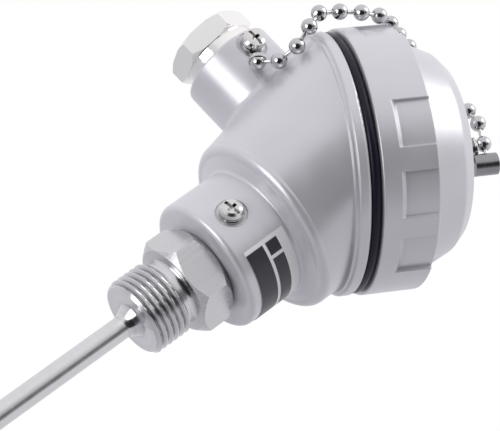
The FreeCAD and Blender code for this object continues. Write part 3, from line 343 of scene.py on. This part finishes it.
# %% Brushed lines
brushed, brushed_in, brushed_out = effect(
    "brushed_lines",
    [("Across mm", "float", 0.2), ("Along mm", "float", 6.0)],
    [("Height", "float"), ("Tone", "float")])
spot = add(brushed, "ShaderNodeTexCoord")
across = maths(brushed, "DIVIDE", MM_PER_METRE, brushed_in.outputs["Across mm"])
lengthwise = maths(brushed, "DIVIDE", MM_PER_METRE, brushed_in.outputs["Along mm"])
stretch = add(brushed, "ShaderNodeCombineXYZ")
for socket, value in (("X", across), ("Y", across), ("Z", lengthwise)):
    link(brushed, value, stretch.inputs[socket])
pulled = add(brushed, "ShaderNodeVectorMath", operation="MULTIPLY")
link(brushed, spot.outputs["Object"], pulled.inputs[0])
link(brushed, stretch.outputs["Vector"], pulled.inputs[1])
scratches = add(brushed, "ShaderNodeTexNoise", inputs={"Scale": 1.0, "Detail": 3.0, "Roughness": 0.7})
link(brushed, pulled.outputs["Vector"], scratches.inputs["Vector"])
link(brushed, scratches.outputs["Fac"], brushed_out.inputs["Height"])
bands = add(brushed, "ShaderNodeTexNoise", inputs={"Scale": 0.25, "Detail": 2.0, "Roughness": 0.6})
link(brushed, pulled.outputs["Vector"], bands.inputs["Vector"])
link(brushed, bands.outputs["Fac"], brushed_out.inputs["Tone"])
print("effects:", grain.name, rings.name, brushed.name)

# %% [markdown]
# ## Finishes
#
# Each finish is a Principled surface. Its colour is mixed from two close tones by a slow stain, its
# roughness moves a little with the same stain, and its bump comes from the grain or from tool rings.
# A painted casting could also be a flat colour, but then every highlight would be perfectly smooth,
# which a sprayed casting never is.


# %% A surface with two tones
NOISE_LOW = 0.3
NOISE_HIGH = 0.7
RAY_SAMPLES = 6


def finish(name, light, dark, roughness, metallic=0.0, rough_spread=0.05, crevice_mm=0.0, **sockets):
    """A Principled material and the parts that its surface pattern is linked to.

    A width given for crevices, in millimetres, paints shade into the colour in gaps about that wide, as
    in a thread's roots.
    """
    material = bpy.data.materials.new(name)
    material.use_nodes = True
    tree = material.node_tree
    surface = tree.nodes["Principled BSDF"]
    surface.inputs["Metallic"].default_value = metallic
    for key, value in sockets.items():
        surface.inputs[key.replace("_", " ")].default_value = value
    tones = add(tree, "ShaderNodeMix", data_type="RGBA")
    tones.inputs["A"].default_value = (*dark, 1.0)
    tones.inputs["B"].default_value = (*light, 1.0)
    # Painted shade: an occlusion node darkens the colour in crevices.
    if crevice_mm:
        crevice_shade = add(
            tree, "ShaderNodeAmbientOcclusion", samples=RAY_SAMPLES,
            inputs={"Distance": crevice_mm * MM})
        link(tree, tones.outputs["Result"], crevice_shade.inputs["Color"])
        link(tree, crevice_shade.outputs["Color"], surface.inputs["Base Color"])
    else:
        link(tree, tones.outputs["Result"], surface.inputs["Base Color"])
    rough = add(tree, "ShaderNodeMapRange", inputs={
        "From Min": NOISE_LOW, "From Max": NOISE_HIGH,
        "To Min": roughness - rough_spread, "To Max": roughness + rough_spread})
    link(tree, rough.outputs["Result"], surface.inputs["Roughness"])
    return material, tree, surface, tones, rough


# %% Effects, bumps and brushed highlights
def place_effect(tree, group, **values):
    """One use of a shared effect with its own values."""
    node = add(tree, "ShaderNodeGroup")
    node.node_tree = group
    for key, value in values.items():
        node.inputs[key.replace("_", " ")].default_value = value
    return node


def bump(tree, surface, height, strength, depth_mm, edge_mm=0.0):
    """A bump whose full height is given in millimetres, over edges that shade as if rounded."""
    node = add(tree, "ShaderNodeBump", inputs={"Strength": strength, "Distance": depth_mm * MM})
    link(tree, height, node.inputs["Height"])
    if edge_mm:
        rounded = add(
            tree, "ShaderNodeBevel", samples=RAY_SAMPLES, inputs={"Radius": edge_mm * MM})
        link(tree, rounded.outputs["Normal"], node.inputs["Normal"])
    link(tree, node.outputs["Normal"], surface.inputs["Normal"])


def brushed_shine(tree, surface, axis, amount, rotation):
    """Stretch the highlights along or across the tool marks round an axis."""
    tangent = add(tree, "ShaderNodeTangent", direction_type="RADIAL", axis=axis)
    link(tree, tangent.outputs["Tangent"], surface.inputs["Tangent"])
    surface.inputs["Anisotropic"].default_value = amount
    surface.inputs["Anisotropic Rotation"].default_value = rotation


# %% Three kinds of finish
TOOL_MARK_STRENGTH = 0.5
ACROSS_RINGS = 0.25
ALONG_LINES = 0.0
LINE_SHINE = 0.5


def grained(name, light, dark, roughness, size_mm, depth_mm, stain_mm=12.0, strength=0.5,
            edge_mm=0.0, **more):
    """A finish with a fine grain: paint, ceramic, rubber or film."""
    material, tree, surface, tones, rough = finish(name, light, dark, roughness, **more)
    pattern = place_effect(tree, grain, Size_mm=size_mm, Stain_size_mm=stain_mm)
    link(tree, pattern.outputs["Stain"], tones.inputs["Factor"])
    link(tree, pattern.outputs["Stain"], rough.inputs["Value"])
    bump(tree, surface, pattern.outputs["Height"], strength, depth_mm, edge_mm)
    return material


def turned(name, light, dark, roughness, centre, axis, pitch_mm, depth_mm, shine_axis, shine,
           **more):
    """A metal finish with tool rings about an axis, so highlights run across the rings."""
    material, tree, surface, tones, rough = finish(name, light, dark, roughness, metallic=1.0, **more)
    pattern = place_effect(tree, rings, Centre=centre, Axis=axis, Pitch_mm=pitch_mm)
    link(tree, pattern.outputs["Tone"], tones.inputs["Factor"])
    link(tree, pattern.outputs["Tone"], rough.inputs["Value"])
    bump(tree, surface, pattern.outputs["Height"], TOOL_MARK_STRENGTH, depth_mm)
    brushed_shine(tree, surface, shine_axis, shine, ACROSS_RINGS)
    return material


def drawn(name, light, dark, roughness, across_mm, along_mm, depth_mm, **more):
    """A metal finish with long scratches, as on bar stock."""
    material, tree, surface, tones, rough = finish(name, light, dark, roughness, metallic=1.0, **more)
    pattern = place_effect(tree, brushed, Across_mm=across_mm, Along_mm=along_mm)
    link(tree, pattern.outputs["Tone"], tones.inputs["Factor"])
    link(tree, pattern.outputs["Tone"], rough.inputs["Value"])
    bump(tree, surface, pattern.outputs["Height"], TOOL_MARK_STRENGTH, depth_mm)
    brushed_shine(tree, surface, "Z", LINE_SHINE, ALONG_LINES)
    return material


# %% [markdown]
# The castings are sprayed with silver paint. It holds metal flakes, so it is partly metallic, and its
# edges shade as if rounded, because paint runs thin over them. The rubber is nearly black with a blue
# cast, and the ceramic and the resin inside the head are dull.

# %% Paint, rubber, ceramic and the small inside pieces
SILVER_PAINT = {
    "light": (0.69, 0.685, 0.715), "dark": (0.63, 0.622, 0.658), "roughness": 0.33, "metallic": 0.44,
    "size_mm": 0.45, "depth_mm": 0.020, "strength": 0.5}

head_paint = grained("head_paint", edge_mm=0.45, **SILVER_PAINT)
fillet_paint = grained("fillet_paint", **SILVER_PAINT)
seal_rubber = grained(
    "seal_rubber", (0.012, 0.010, 0.026), (0.008, 0.007, 0.017), 0.32, 0.4, 0.006,
    Specular_IOR_Level=0.25)
ceramic = grained("ceramic", (0.82, 0.80, 0.74), (0.74, 0.72, 0.66), 0.6, 0.3, 0.01)
resin = grained("resin", (0.06, 0.05, 0.05), (0.03, 0.03, 0.03), 0.4, 0.8, 0.01)
sleeve = grained("wire_sleeve", (0.78, 0.77, 0.74), (0.70, 0.69, 0.66), 0.5, 0.2, 0.005)
floor_paper = grained("floor_paper", (0.86, 0.86, 0.86), (0.84, 0.84, 0.84), 0.8, 2.0, 0.01)

# %% [markdown]
# The metals differ by how they were made. The fitting and the sheath are turned steel, the hexagon is
# drawn bar, and the gland is plated brass, so it is whiter and smoother. The thread and the small
# screws have painted shade in their crevices.

# %% Steel and the gland
ABOUT_PROBE = {
    "centre": (0.0, 0.0, 0.0), "axis": (0.0, 0.0, 1.0), "shine_axis": "Z", "shine": 0.75}
ABOUT_ENTRY = {
    "centre": (0.0, 0.0, 0.0588), "axis": (-1.0, 0.0, 0.0), "shine_axis": "X", "shine": 0.2}

stainless = turned(
    "stainless", (0.80, 0.795, 0.805), (0.60, 0.595, 0.61), 0.19,
    pitch_mm=0.22, depth_mm=0.006, crevice_mm=0.8, **ABOUT_PROBE)
hexagon_steel = drawn(
    "hexagon_steel", (0.74, 0.735, 0.745), (0.52, 0.515, 0.53), 0.30,
    across_mm=0.22, along_mm=7.0, depth_mm=0.012, rough_spread=0.08)
sheath_steel = turned(
    "sheath_steel", (0.74, 0.74, 0.745), (0.66, 0.66, 0.67), 0.24,
    pitch_mm=0.35, depth_mm=0.003, **ABOUT_PROBE)
gland_metal = turned(
    "gland_metal", (0.95, 0.945, 0.92), (0.89, 0.885, 0.86), 0.12,
    pitch_mm=0.25, depth_mm=0.003, **ABOUT_ENTRY)

# %% Small metal pieces
plated = grained(
    "plated_steel", (0.76, 0.755, 0.74), (0.64, 0.635, 0.62), 0.10, 0.4, 0.002, metallic=1.0,
    stain_mm=2.0, crevice_mm=0.8)
nickel = grained(
    "chain_nickel", (0.62, 0.62, 0.625), (0.52, 0.52, 0.53), 0.08, 0.9, 0.003, metallic=1.0,
    stain_mm=1.5)
swivel_steel = grained(
    "swivel_steel", (0.36, 0.355, 0.365), (0.28, 0.275, 0.285), 0.22, 0.5, 0.003, metallic=1.0,
    stain_mm=1.5)
brass = grained(
    "terminal_brass", (0.72, 0.53, 0.24), (0.60, 0.43, 0.18), 0.3, 0.3, 0.004, metallic=1.0)
print("materials:", len(bpy.data.materials))

# %% [markdown]
# ## Label
#
# The neck carries a printed film. It could be a picture, but the fields are plain, so they are drawn
# from the place on the neck: the angle about the probe axis gives one direction and the height the
# other. Rows of dark bars stand where such a label has its data.

# %% Label film
LABEL_LIGHT = (0.86, 0.86, 0.87)
LABEL_DARK = (0.035, 0.032, 0.042)
# Each bar: first angle, last angle, in degrees, then lowest and highest level in millimetres.
LABEL_BARS = (
    (-60.5, 30.0, 16.4, 21.8),
    (-60.5, -49.0, 22.7, 26.4),
    (-46.0, 30.0, 22.7, 26.4),
)
SOFT_DEGREES = 0.3
SOFT_LEVEL = 0.06

label_film, tree, surface, tones, rough = finish("label_film", LABEL_LIGHT, LABEL_DARK, 0.36)
spot = add(tree, "ShaderNodeTexCoord")
parts = add(tree, "ShaderNodeSeparateXYZ")
link(tree, spot.outputs["Object"], parts.inputs["Vector"])
around = maths(tree, "ARCTAN2", parts.outputs["Y"], parts.outputs["X"])
around = maths(tree, "MULTIPLY", around, math.degrees(1.0))
level = maths(tree, "MULTIPLY", parts.outputs["Z"], MM_PER_METRE)


def inside(tree, value, low, high, soft):
    """1 between two limits and 0 outside, with a soft edge."""
    steps = []
    for limit in (low, high):
        step = add(
            tree, "ShaderNodeMapRange", inputs={"From Min": limit - soft, "From Max": limit + soft})
        link(tree, value, step.inputs["Value"])
        steps.append(step.outputs["Result"])
    return maths(tree, "SUBTRACT", steps[0], steps[1], clamp=True)


printed = None
for first, last, low, high in LABEL_BARS:
    across_bar = inside(tree, around, first, last, SOFT_DEGREES)
    up_bar = inside(tree, level, low, high, SOFT_LEVEL)
    bar = maths(tree, "MULTIPLY", across_bar, up_bar)
    printed = bar if printed is None else maths(tree, "MAXIMUM", printed, bar)
link(tree, maths(tree, "SUBTRACT", 1.0, printed, clamp=True), tones.inputs["Factor"])
film = place_effect(tree, grain, Size_mm=0.35, Stain_size_mm=4.0)
link(tree, film.outputs["Stain"], rough.inputs["Value"])
bump(tree, surface, film.outputs["Height"], strength=0.3, depth_mm=0.006)
print("label bars:", len(LABEL_BARS))

# %% [markdown]
# ## Dressing the solids
#
# A solid from the frame keeps its shape, so it only gets a material, and a small bevel where the real
# edge catches the light. The bevel is a modifier: it leaves the solid's own mesh alone.

# %% Materials for the solids, each with the width of its bevel in millimetres
FINISHES = {
    "head_casting": (head_paint, 0.0),
    "screw_cap": (head_paint, 0.0),
    "cap_seal": (seal_rubber, 0.0),
    "sensor_sheath": (sheath_steel, 0.0),
    "gland_screw": (gland_metal, 0.15),
    "gland_back_washer": (gland_metal, 0.0),
    "gland_thrust_washer": (gland_metal, 0.0),
    "gland_seal": (seal_rubber, 0.0),
    "earth_screw": (plated, 0.06),
    "earth_spring_washer": (plated, 0.06),
    "chain_screw": (plated, 0.06),
    "chain_spring_washer": (plated, 0.06),
    "chain_eyelet_head": (nickel, 0.05),
    "chain_swivel": (swivel_steel, 0.08),
    "swivel_pin": (plated, 0.0),
    "terminal_block": (ceramic, 0.2),
    "terminal_bodies": (brass, 0.1),
    "terminal_screws": (plated, 0.05),
    "block_screws": (plated, 0.05),
    "lead_wires": (sleeve, 0.0),
    "sensing_element": (ceramic, 0.0),
    "sheath_insulator": (ceramic, 0.0),
    "sheath_potting": (resin, 0.0),
    "element_leads": (nickel, 0.0),
    "neck_label": (label_film, 0.0),
    "process_fitting": (stainless, 0.0),
    "sheath_weld": (stainless, 0.0),
    "chain_balls": (nickel, 0.0),
    "chain_links": (nickel, 0.0),
}


# %% Dress the solids
EDGE_ANGLE = 32.0


def dress(obj, material, edge_mm=0.0):
    """Give an object one material and, where asked, a bevel that catches the light."""
    obj.data.materials.clear()
    obj.data.materials.append(material)
    if edge_mm:
        soften = obj.modifiers.new("soft_edges", "BEVEL")
        soften.width = edge_mm * MM
        soften.segments = 2
        soften.limit_method = "ANGLE"
        soften.angle_limit = math.radians(EDGE_ANGLE)
        soften.harden_normals = False


dress(floor, floor_paper)
for node, (material, edge_mm) in FINISHES.items():
    dress(nodes[node], material, edge_mm)
print("dressed:", len(FINISHES), "solids; missing:", sorted(set(nodes) - set(FINISHES)))

# %% [markdown]
# ## The fitting
#
# The real fitting is turned from hexagon bar. The solid leaves its thread plain, because a helix says
# nothing new about its size, but the eye looks for it. The thread is a grid wrapped round the axis,
# whose radius follows the helix, so the crests run out cleanly into the nose chamfer.

# %% Shapes made by turning
MERGE_DISTANCE = 1e-7


def mark_sharp(obj, degrees):
    """Smooth shading with crisp edges where two faces meet at a clear angle."""
    shape = bmesh.new()
    shape.from_mesh(obj.data)
    bmesh.ops.remove_doubles(shape, verts=shape.verts, dist=MERGE_DISTANCE)
    bmesh.ops.recalc_face_normals(shape, faces=shape.faces)
    for face in shape.faces:
        face.smooth = True
    for edge in shape.edges:
        edge.smooth = len(edge.link_faces) == 2 and edge.calc_face_angle(0.0) < math.radians(degrees)
    shape.to_mesh(obj.data)
    shape.free()


def around_axis(radius, height, step, count):
    """A point in metres, from its radius and height in millimetres and its step round the Z axis."""
    angle = 2 * math.pi * step / count
    return radius * math.cos(angle) * MM, radius * math.sin(angle) * MM, height * MM


def ring_faces(first, second, count):
    """Faces between two rings of points, given by the number of each ring's first point."""
    faces = []
    for k in range(count):
        nxt = (k + 1) % count
        faces.append((first + k, first + nxt, second + nxt, second + k))
    return faces


def wrap(name, levels, radius_at, count):
    """A closed skin round the Z axis, through rings at levels in millimetres, back to the first."""
    points, faces = [], []
    for place, height in enumerate(levels):
        for k in range(count):
            radius = radius_at(place, height, 2 * math.pi * k / count)
            points.append(around_axis(radius, height, k, count))
        faces += ring_faces(place * count, (place + 1) % len(levels) * count, count)
    return new_mesh(name, points, faces)


# %% Thread profile
THREAD_RADIUS = 10.4775
THREAD_PITCH = 1.814
THREAD_DEPTH = 1.16
CREST_SHARE = 0.10
ROUND_SHARE = 0.3


def thread_depth_at(height, angle):
    """How far the thread cuts in at a height and an angle, from 0 at a crest to its full depth."""
    phase = (height / THREAD_PITCH - angle / (2 * math.pi)) % 1.0
    slope = (abs(phase * 2 - 1) - CREST_SHARE) / (1 - 2 * CREST_SHARE)
    flat = min(max(slope, 0.0), 1.0)
    rounded = flat * flat * (3 - 2 * flat)
    return THREAD_DEPTH * (rounded * ROUND_SHARE + flat * (1 - ROUND_SHARE))


# %% Thread, nose and relief
HEX_LOW = 2.5
THREAD_NOSE = -11.0
THREAD_STEP = 0.1
NOSE_CHAMFER = 1.0
RELIEF_RADIUS = 9.0
RELIEF_LEVELS = (0.25, 1.0, 2.0)
ROOT_ROUND = 0.35
RUN_OUT_SLOPE = 1.6
BORE = 3.05

thread_levels = [THREAD_NOSE]
while thread_levels[-1] < 0.0:
    thread_levels.append(round(thread_levels[-1] + THREAD_STEP, 4))
outer = [("nose", THREAD_NOSE)] + [("thread", height) for height in thread_levels]
outer += [("relief", height) for height in RELIEF_LEVELS]
outer += [("root", HEX_LOW), ("bore_top", HEX_LOW), ("bore", THREAD_NOSE)]


def thread_skin(place, height, angle):
    """Radius of the fitting's lower part in millimetres."""
    kind = outer[place][0]
    if kind in ("bore", "bore_top", "nose"):
        return BORE
    if kind == "relief":
        return RELIEF_RADIUS
    if kind == "root":
        return RELIEF_RADIUS + ROOT_ROUND
    nose_cone = THREAD_RADIUS - NOSE_CHAMFER + (height - THREAD_NOSE)
    run_out = RELIEF_RADIUS + max(0.0, -height) * RUN_OUT_SLOPE
    return min(THREAD_RADIUS - thread_depth_at(height, angle), nose_cone, run_out)


fitting_thread = wrap("fitting_thread", [height for kind, height in outer], thread_skin, count=180)
mark_sharp(fitting_thread, degrees=40.0)
dress(fitting_thread, stainless)
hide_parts("process_fitting")
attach(fitting_thread, "head")
print("thread faces:", len(fitting_thread.data.polygons))

# %% [markdown]
# The hexagon is a prism that a cone trims at both ends, which leaves the curved edge that every
# turned nut has. The two are cut together with a boolean, because a wrapped grid would leave a ragged
# edge there.


# %% Blanks and cuts
def turned_blank(name, profile, count=192):
    """A solid of revolution about Z from (radius, height) pairs in millimetres."""
    points = [around_axis(radius, height, k, count) for radius, height in profile for k in range(count)]
    faces = []
    for place in range(len(profile) - 1):
        faces += ring_faces(place * count, (place + 1) * count, count)
    last = (len(profile) - 1) * count
    faces += [tuple(range(count - 1, -1, -1)), tuple(range(last, last + count))]
    return new_mesh(name, points, faces)


def combine(base, tool_object, operation):
    """Apply an exact boolean and remove the tool."""
    step = base.modifiers.new("cut", "BOOLEAN")
    step.operation = operation
    step.solver = "EXACT"
    step.object = tool_object
    graph = bpy.context.evaluated_depsgraph_get()
    result = bpy.data.meshes.new_from_object(base.evaluated_get(graph))
    base.modifiers.clear()
    base.data = result
    bpy.data.objects.remove(tool_object)
    return base


# %% Hexagon
HEX_FLATS = 24.0
HEX_TURN = 16.0
HEX_HIGH = 13.0
HEX_FACE_RADIUS = 11.8
HEX_BACK_RADIUS = 11.2
FACE_ROUND = 0.3
FACE_DROP = 0.1
CLEAR_OF_CORNER = 0.2
CLEAR_OF_FACE = 1.0

hex_corner = HEX_FLATS / 2 / math.cos(math.radians(30))
front = HEX_LOW + hex_corner - HEX_FACE_RADIUS
back = HEX_HIGH - (hex_corner - HEX_BACK_RADIUS)
blank = turned_blank("fitting_hexagon", [
    (HEX_FACE_RADIUS - FACE_ROUND, HEX_LOW), (HEX_FACE_RADIUS, HEX_LOW + FACE_DROP),
    (hex_corner, front), (hex_corner + CLEAR_OF_CORNER, front + FACE_ROUND),
    (hex_corner + CLEAR_OF_CORNER, back - FACE_ROUND), (hex_corner, back),
    (HEX_BACK_RADIUS, HEX_HIGH - FACE_DROP), (HEX_BACK_RADIUS - FACE_ROUND, HEX_HIGH)])
prism_points = [
    around_axis(hex_corner, height, k + HEX_TURN / 60, 6)
    for height in (HEX_LOW - CLEAR_OF_FACE, HEX_HIGH + CLEAR_OF_FACE) for k in range(6)]
prism_faces = ring_faces(0, 6, 6)
prism = new_mesh("prism", prism_points, prism_faces + [(5, 4, 3, 2, 1, 0), (6, 7, 8, 9, 10, 11)])
fitting_hexagon = combine(blank, prism, "INTERSECT")
mark_sharp(fitting_hexagon, degrees=24.0)
dress(fitting_hexagon, hexagon_steel, edge_mm=0.12)
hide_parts("process_fitting")
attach(fitting_hexagon, "head")
print("hexagon faces:", len(fitting_hexagon.data.polygons))

# %% [markdown]
# The sheath is welded to the nose, and the bead is dressed to a smooth flare. A flare like this is a
# turned profile, so it is wrapped in the same way, with a slight waviness where the torch went round.

# %% Weld flare
WELD_LOW = -14.2
WELD_RADIUS = 4.8
SHEATH_RADIUS = 3.0
SHEATH_GAP = 0.01
WELD_TOE = 0.06
WELD_STEPS = 16
FLARE_POWER = 1.5
WAVES = 14
WAVE_DEPTH = 0.010

weld_height = THREAD_NOSE - WELD_LOW
weld_levels = [WELD_LOW + weld_height * k / WELD_STEPS for k in range(WELD_STEPS + 1)]


def weld_skin(place, height, angle):
    """Radius of the flare, or of the sheath hole inside it."""
    if place > WELD_STEPS:
        return SHEATH_RADIUS + SHEATH_GAP
    rise = (height - WELD_LOW) / weld_height
    wave = WAVE_DEPTH * math.sin(WAVES * angle) * math.sin(math.pi * rise)
    toe = SHEATH_RADIUS + WELD_TOE
    return toe + (WELD_RADIUS - toe) * rise ** FLARE_POWER + wave


weld = wrap("weld_flare", weld_levels + [THREAD_NOSE, WELD_LOW], weld_skin, count=96)
mark_sharp(weld, degrees=40.0)
dress(weld, stainless)
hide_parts("sheath_weld")
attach(weld, "head")
print("weld faces:", len(weld.data.polygons))

# %% [markdown]
# ## Fillet at the cable entry
#
# A die casting has no sharp inner corner: the entry boss flows into the bell through a small fillet,
# whose hollow line catches the light. The solid leaves that corner plain. The fillet is a thin closed
# ring. Rays cast along the boss find the bell's surface, and a curve that touches both surfaces joins
# them at each angle. It has the paint without rounded edges, because its own borders must not show.

# %% Entry fillet
BOSS_RADIUS = 13.3
BOSS_HEIGHT = 58.8
BOSS_FACE = -43.2
FILLET_REACH = 1.8
FILLET_STEPS = 8
FILLET_SECTIONS = 144
RAY_CLEARANCE = 0.05
SUNK = 0.02
ROOT_DEPTH = 0.4
ALONG_ENTRY = Vector((1.0, 0.0, 0.0))

casting = nodes["head_casting"].data
casting_surface = BVHTree.FromPolygons(
    [vertex.co for vertex in casting.vertices], [polygon.vertices for polygon in casting.polygons])


def on_bell(outwards, radius_mm):
    """Where a line beside the boss, towards the bell, meets the casting, in millimetres."""
    start = Vector((BOSS_FACE, 0.0, BOSS_HEIGHT)) + outwards * radius_mm
    return casting_surface.ray_cast(start * MM, ALONG_ENTRY)[0] / MM


def fillet_section(angle):
    """One closed section of the fillet: the hollow curve, then a root hidden in the metal."""
    outwards = Vector((0.0, math.sin(angle), math.cos(angle)))
    corner = on_bell(outwards, BOSS_RADIUS + RAY_CLEARANCE)
    at_boss = corner - outwards * (RAY_CLEARANCE + SUNK) - ALONG_ENTRY * FILLET_REACH
    at_bell = on_bell(outwards, BOSS_RADIUS + FILLET_REACH) + ALONG_ENTRY * SUNK
    section = []
    for step in range(FILLET_STEPS + 1):
        t = step / FILLET_STEPS
        section.append(at_boss * (1 - t) ** 2 + corner * 2 * t * (1 - t) + at_bell * t ** 2)
    return section + [corner + (ALONG_ENTRY - outwards) * ROOT_DEPTH]


# %% Entry fillet's mesh
points, faces = [], []
loop = FILLET_STEPS + 2
for place in range(FILLET_SECTIONS):
    points += [point * MM for point in fillet_section(2 * math.pi * place / FILLET_SECTIONS)]
    faces += ring_faces(place * loop, (place + 1) % FILLET_SECTIONS * loop, loop)
entry_fillet = new_mesh("entry_fillet", points, faces)
mark_sharp(entry_fillet, degrees=40.0)
dress(entry_fillet, fillet_paint)
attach(entry_fillet, "head")
print("entry fillet faces:", len(entry_fillet.data.polygons))

# %% [markdown]
# ## Ball chain
#
# A ball chain is a row of hollow balls on short pins with a knob at each end, so it bends at every
# ball. The solids already hold each ball's place, so the centres are read from them, sorted from the
# head to the swivel, and each ball is rolled along its chain with a rim where the pin goes in.


# %% Ball centres
def centres_of(obj):
    """The middle of each separate shell in an object."""
    shape = bmesh.new()
    shape.from_mesh(obj.data)
    bmesh.ops.remove_doubles(shape, verts=shape.verts, dist=MERGE_DISTANCE)
    waiting = set(shape.verts)
    found = []
    while waiting:
        shell = [waiting.pop()]
        for vertex in shell:
            for side in vertex.link_edges:
                other = side.other_vert(vertex)
                if other in waiting:
                    waiting.remove(other)
                    shell.append(other)
        low = Vector([min(v.co[i] for v in shell) for i in range(3)])
        high = Vector([max(v.co[i] for v in shell) for i in range(3)])
        found.append((low + high) / 2)
    shape.free()
    return found


loose = centres_of(nodes["chain_balls"])
eyelet_low, eyelet_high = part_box("chain_eyelet_head")
start_near = (Vector(eyelet_low) + Vector(eyelet_high)) / 2
balls = [min(loose, key=lambda c: (c - start_near).length)]
loose.remove(balls[0])
while loose:
    balls.append(min(loose, key=lambda c: (c - balls[-1]).length))
    loose.remove(balls[-1])
gaps = [(b - a).length / MM for a, b in zip(balls, balls[1:])]
print("balls:", len(balls), "gaps mm:", round(min(gaps), 2), "to", round(max(gaps), 2))

# %% [markdown]
# A ball is pressed from sheet, so its shell turns in at the two holes where the pins go in. A plain
# sphere would miss that rim. Each ball and each pin is a profile turned about the chain's own line.

# %% Ball and pin profiles
BALL_RADIUS = 2.2
PIN_RADIUS = 0.55
HOLE_RADIUS = PIN_RADIUS + 0.15
RIM_RADIUS = PIN_RADIUS + 0.22
RIM_START = PIN_RADIUS + 0.30
HOLE_DEPTH = 0.30
RIM_DEPTH = 0.10
KNOB_RADIUS = PIN_RADIUS + 0.12
PIN_SUNK = 0.05
NEAR_KNOB = 0.45
FAR_KNOB = 1.4
BALL_STEPS = 24
BALL_SIDES = 32
PIN_SIDES = 16

half_ball = [
    (HOLE_RADIUS, BALL_RADIUS - HOLE_DEPTH), (RIM_RADIUS, BALL_RADIUS - RIM_DEPTH)]
ball_profile = [(radius, -distance) for radius, distance in half_ball]
for k in range(1, BALL_STEPS):
    tilt = math.pi * k / BALL_STEPS
    if math.sin(tilt) * BALL_RADIUS > RIM_START:
        ball_profile.append((math.sin(tilt) * BALL_RADIUS, -math.cos(tilt) * BALL_RADIUS))
ball_profile += half_ball[::-1]


def pin_profile(length):
    """A pin between two balls a length apart, with a knob at each end inside the ball."""
    return [
        (KNOB_RADIUS, BALL_RADIUS - NEAR_KNOB), (PIN_RADIUS, BALL_RADIUS - PIN_SUNK),
        (PIN_RADIUS, length - BALL_RADIUS + PIN_SUNK), (KNOB_RADIUS, length - BALL_RADIUS + FAR_KNOB)]


# %% Balls and pins
def add_turned(points, faces, profile, centre, way, count):
    """Add a turned shape along a direction; profile is (radius, distance) in millimetres."""
    side = way.orthogonal().normalized()
    other = way.cross(side)
    first = len(points)
    for radius, distance in profile:
        for k in range(count):
            angle = 2 * math.pi * k / count
            reach_out = (side * math.cos(angle) + other * math.sin(angle)) * radius
            points.append(centre + (reach_out + way * distance) * MM)
    last = first + (len(profile) - 1) * count
    for ring in range(first, last, count):
        faces += ring_faces(ring, ring + count, count)
    faces += [tuple(range(first + count - 1, first - 1, -1)), tuple(range(last, last + count))]


def chain_piece(name, first, last):
    """Balls from first to last, each with the pin that reaches into the next ball."""
    points, faces = [], []
    for place in range(first, last + 1):
        before = balls[max(place - 1, 0)]
        after = balls[min(place + 1, len(balls) - 1)]
        way = (after - before).normalized()
        add_turned(points, faces, ball_profile, balls[place], way, BALL_SIDES)
        if place + 1 < len(balls):
            step = after - balls[place]
            pin = pin_profile(step.length / MM)
            add_turned(points, faces, pin, balls[place], step.normalized(), PIN_SIDES)
    piece = new_mesh(name, points, faces)
    mark_sharp(piece, degrees=35.0)
    dress(piece, nickel)
    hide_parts("chain_balls", "chain_links")
    return piece


# %% [markdown]
# When the cap is unscrewed it rises, and the chain has to follow without tearing. The first ball stays
# with the head, the balls that lie over the cap ride with the swivel, and each ball between them is a
# separate piece whose place is baked into its mesh.

# %% Chain pieces
FIRST_CARRIED = 8

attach(chain_piece("chain_ball_at_head", 0, 0), "head")
for place in range(1, FIRST_CARRIED):
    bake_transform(chain_piece("chain_ball_%d" % (place + 1), place, place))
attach(chain_piece("chain_over_cap", FIRST_CARRIED, len(balls) - 1), "swivel")
print("balls between head and cap:", FIRST_CARRIED - 1)
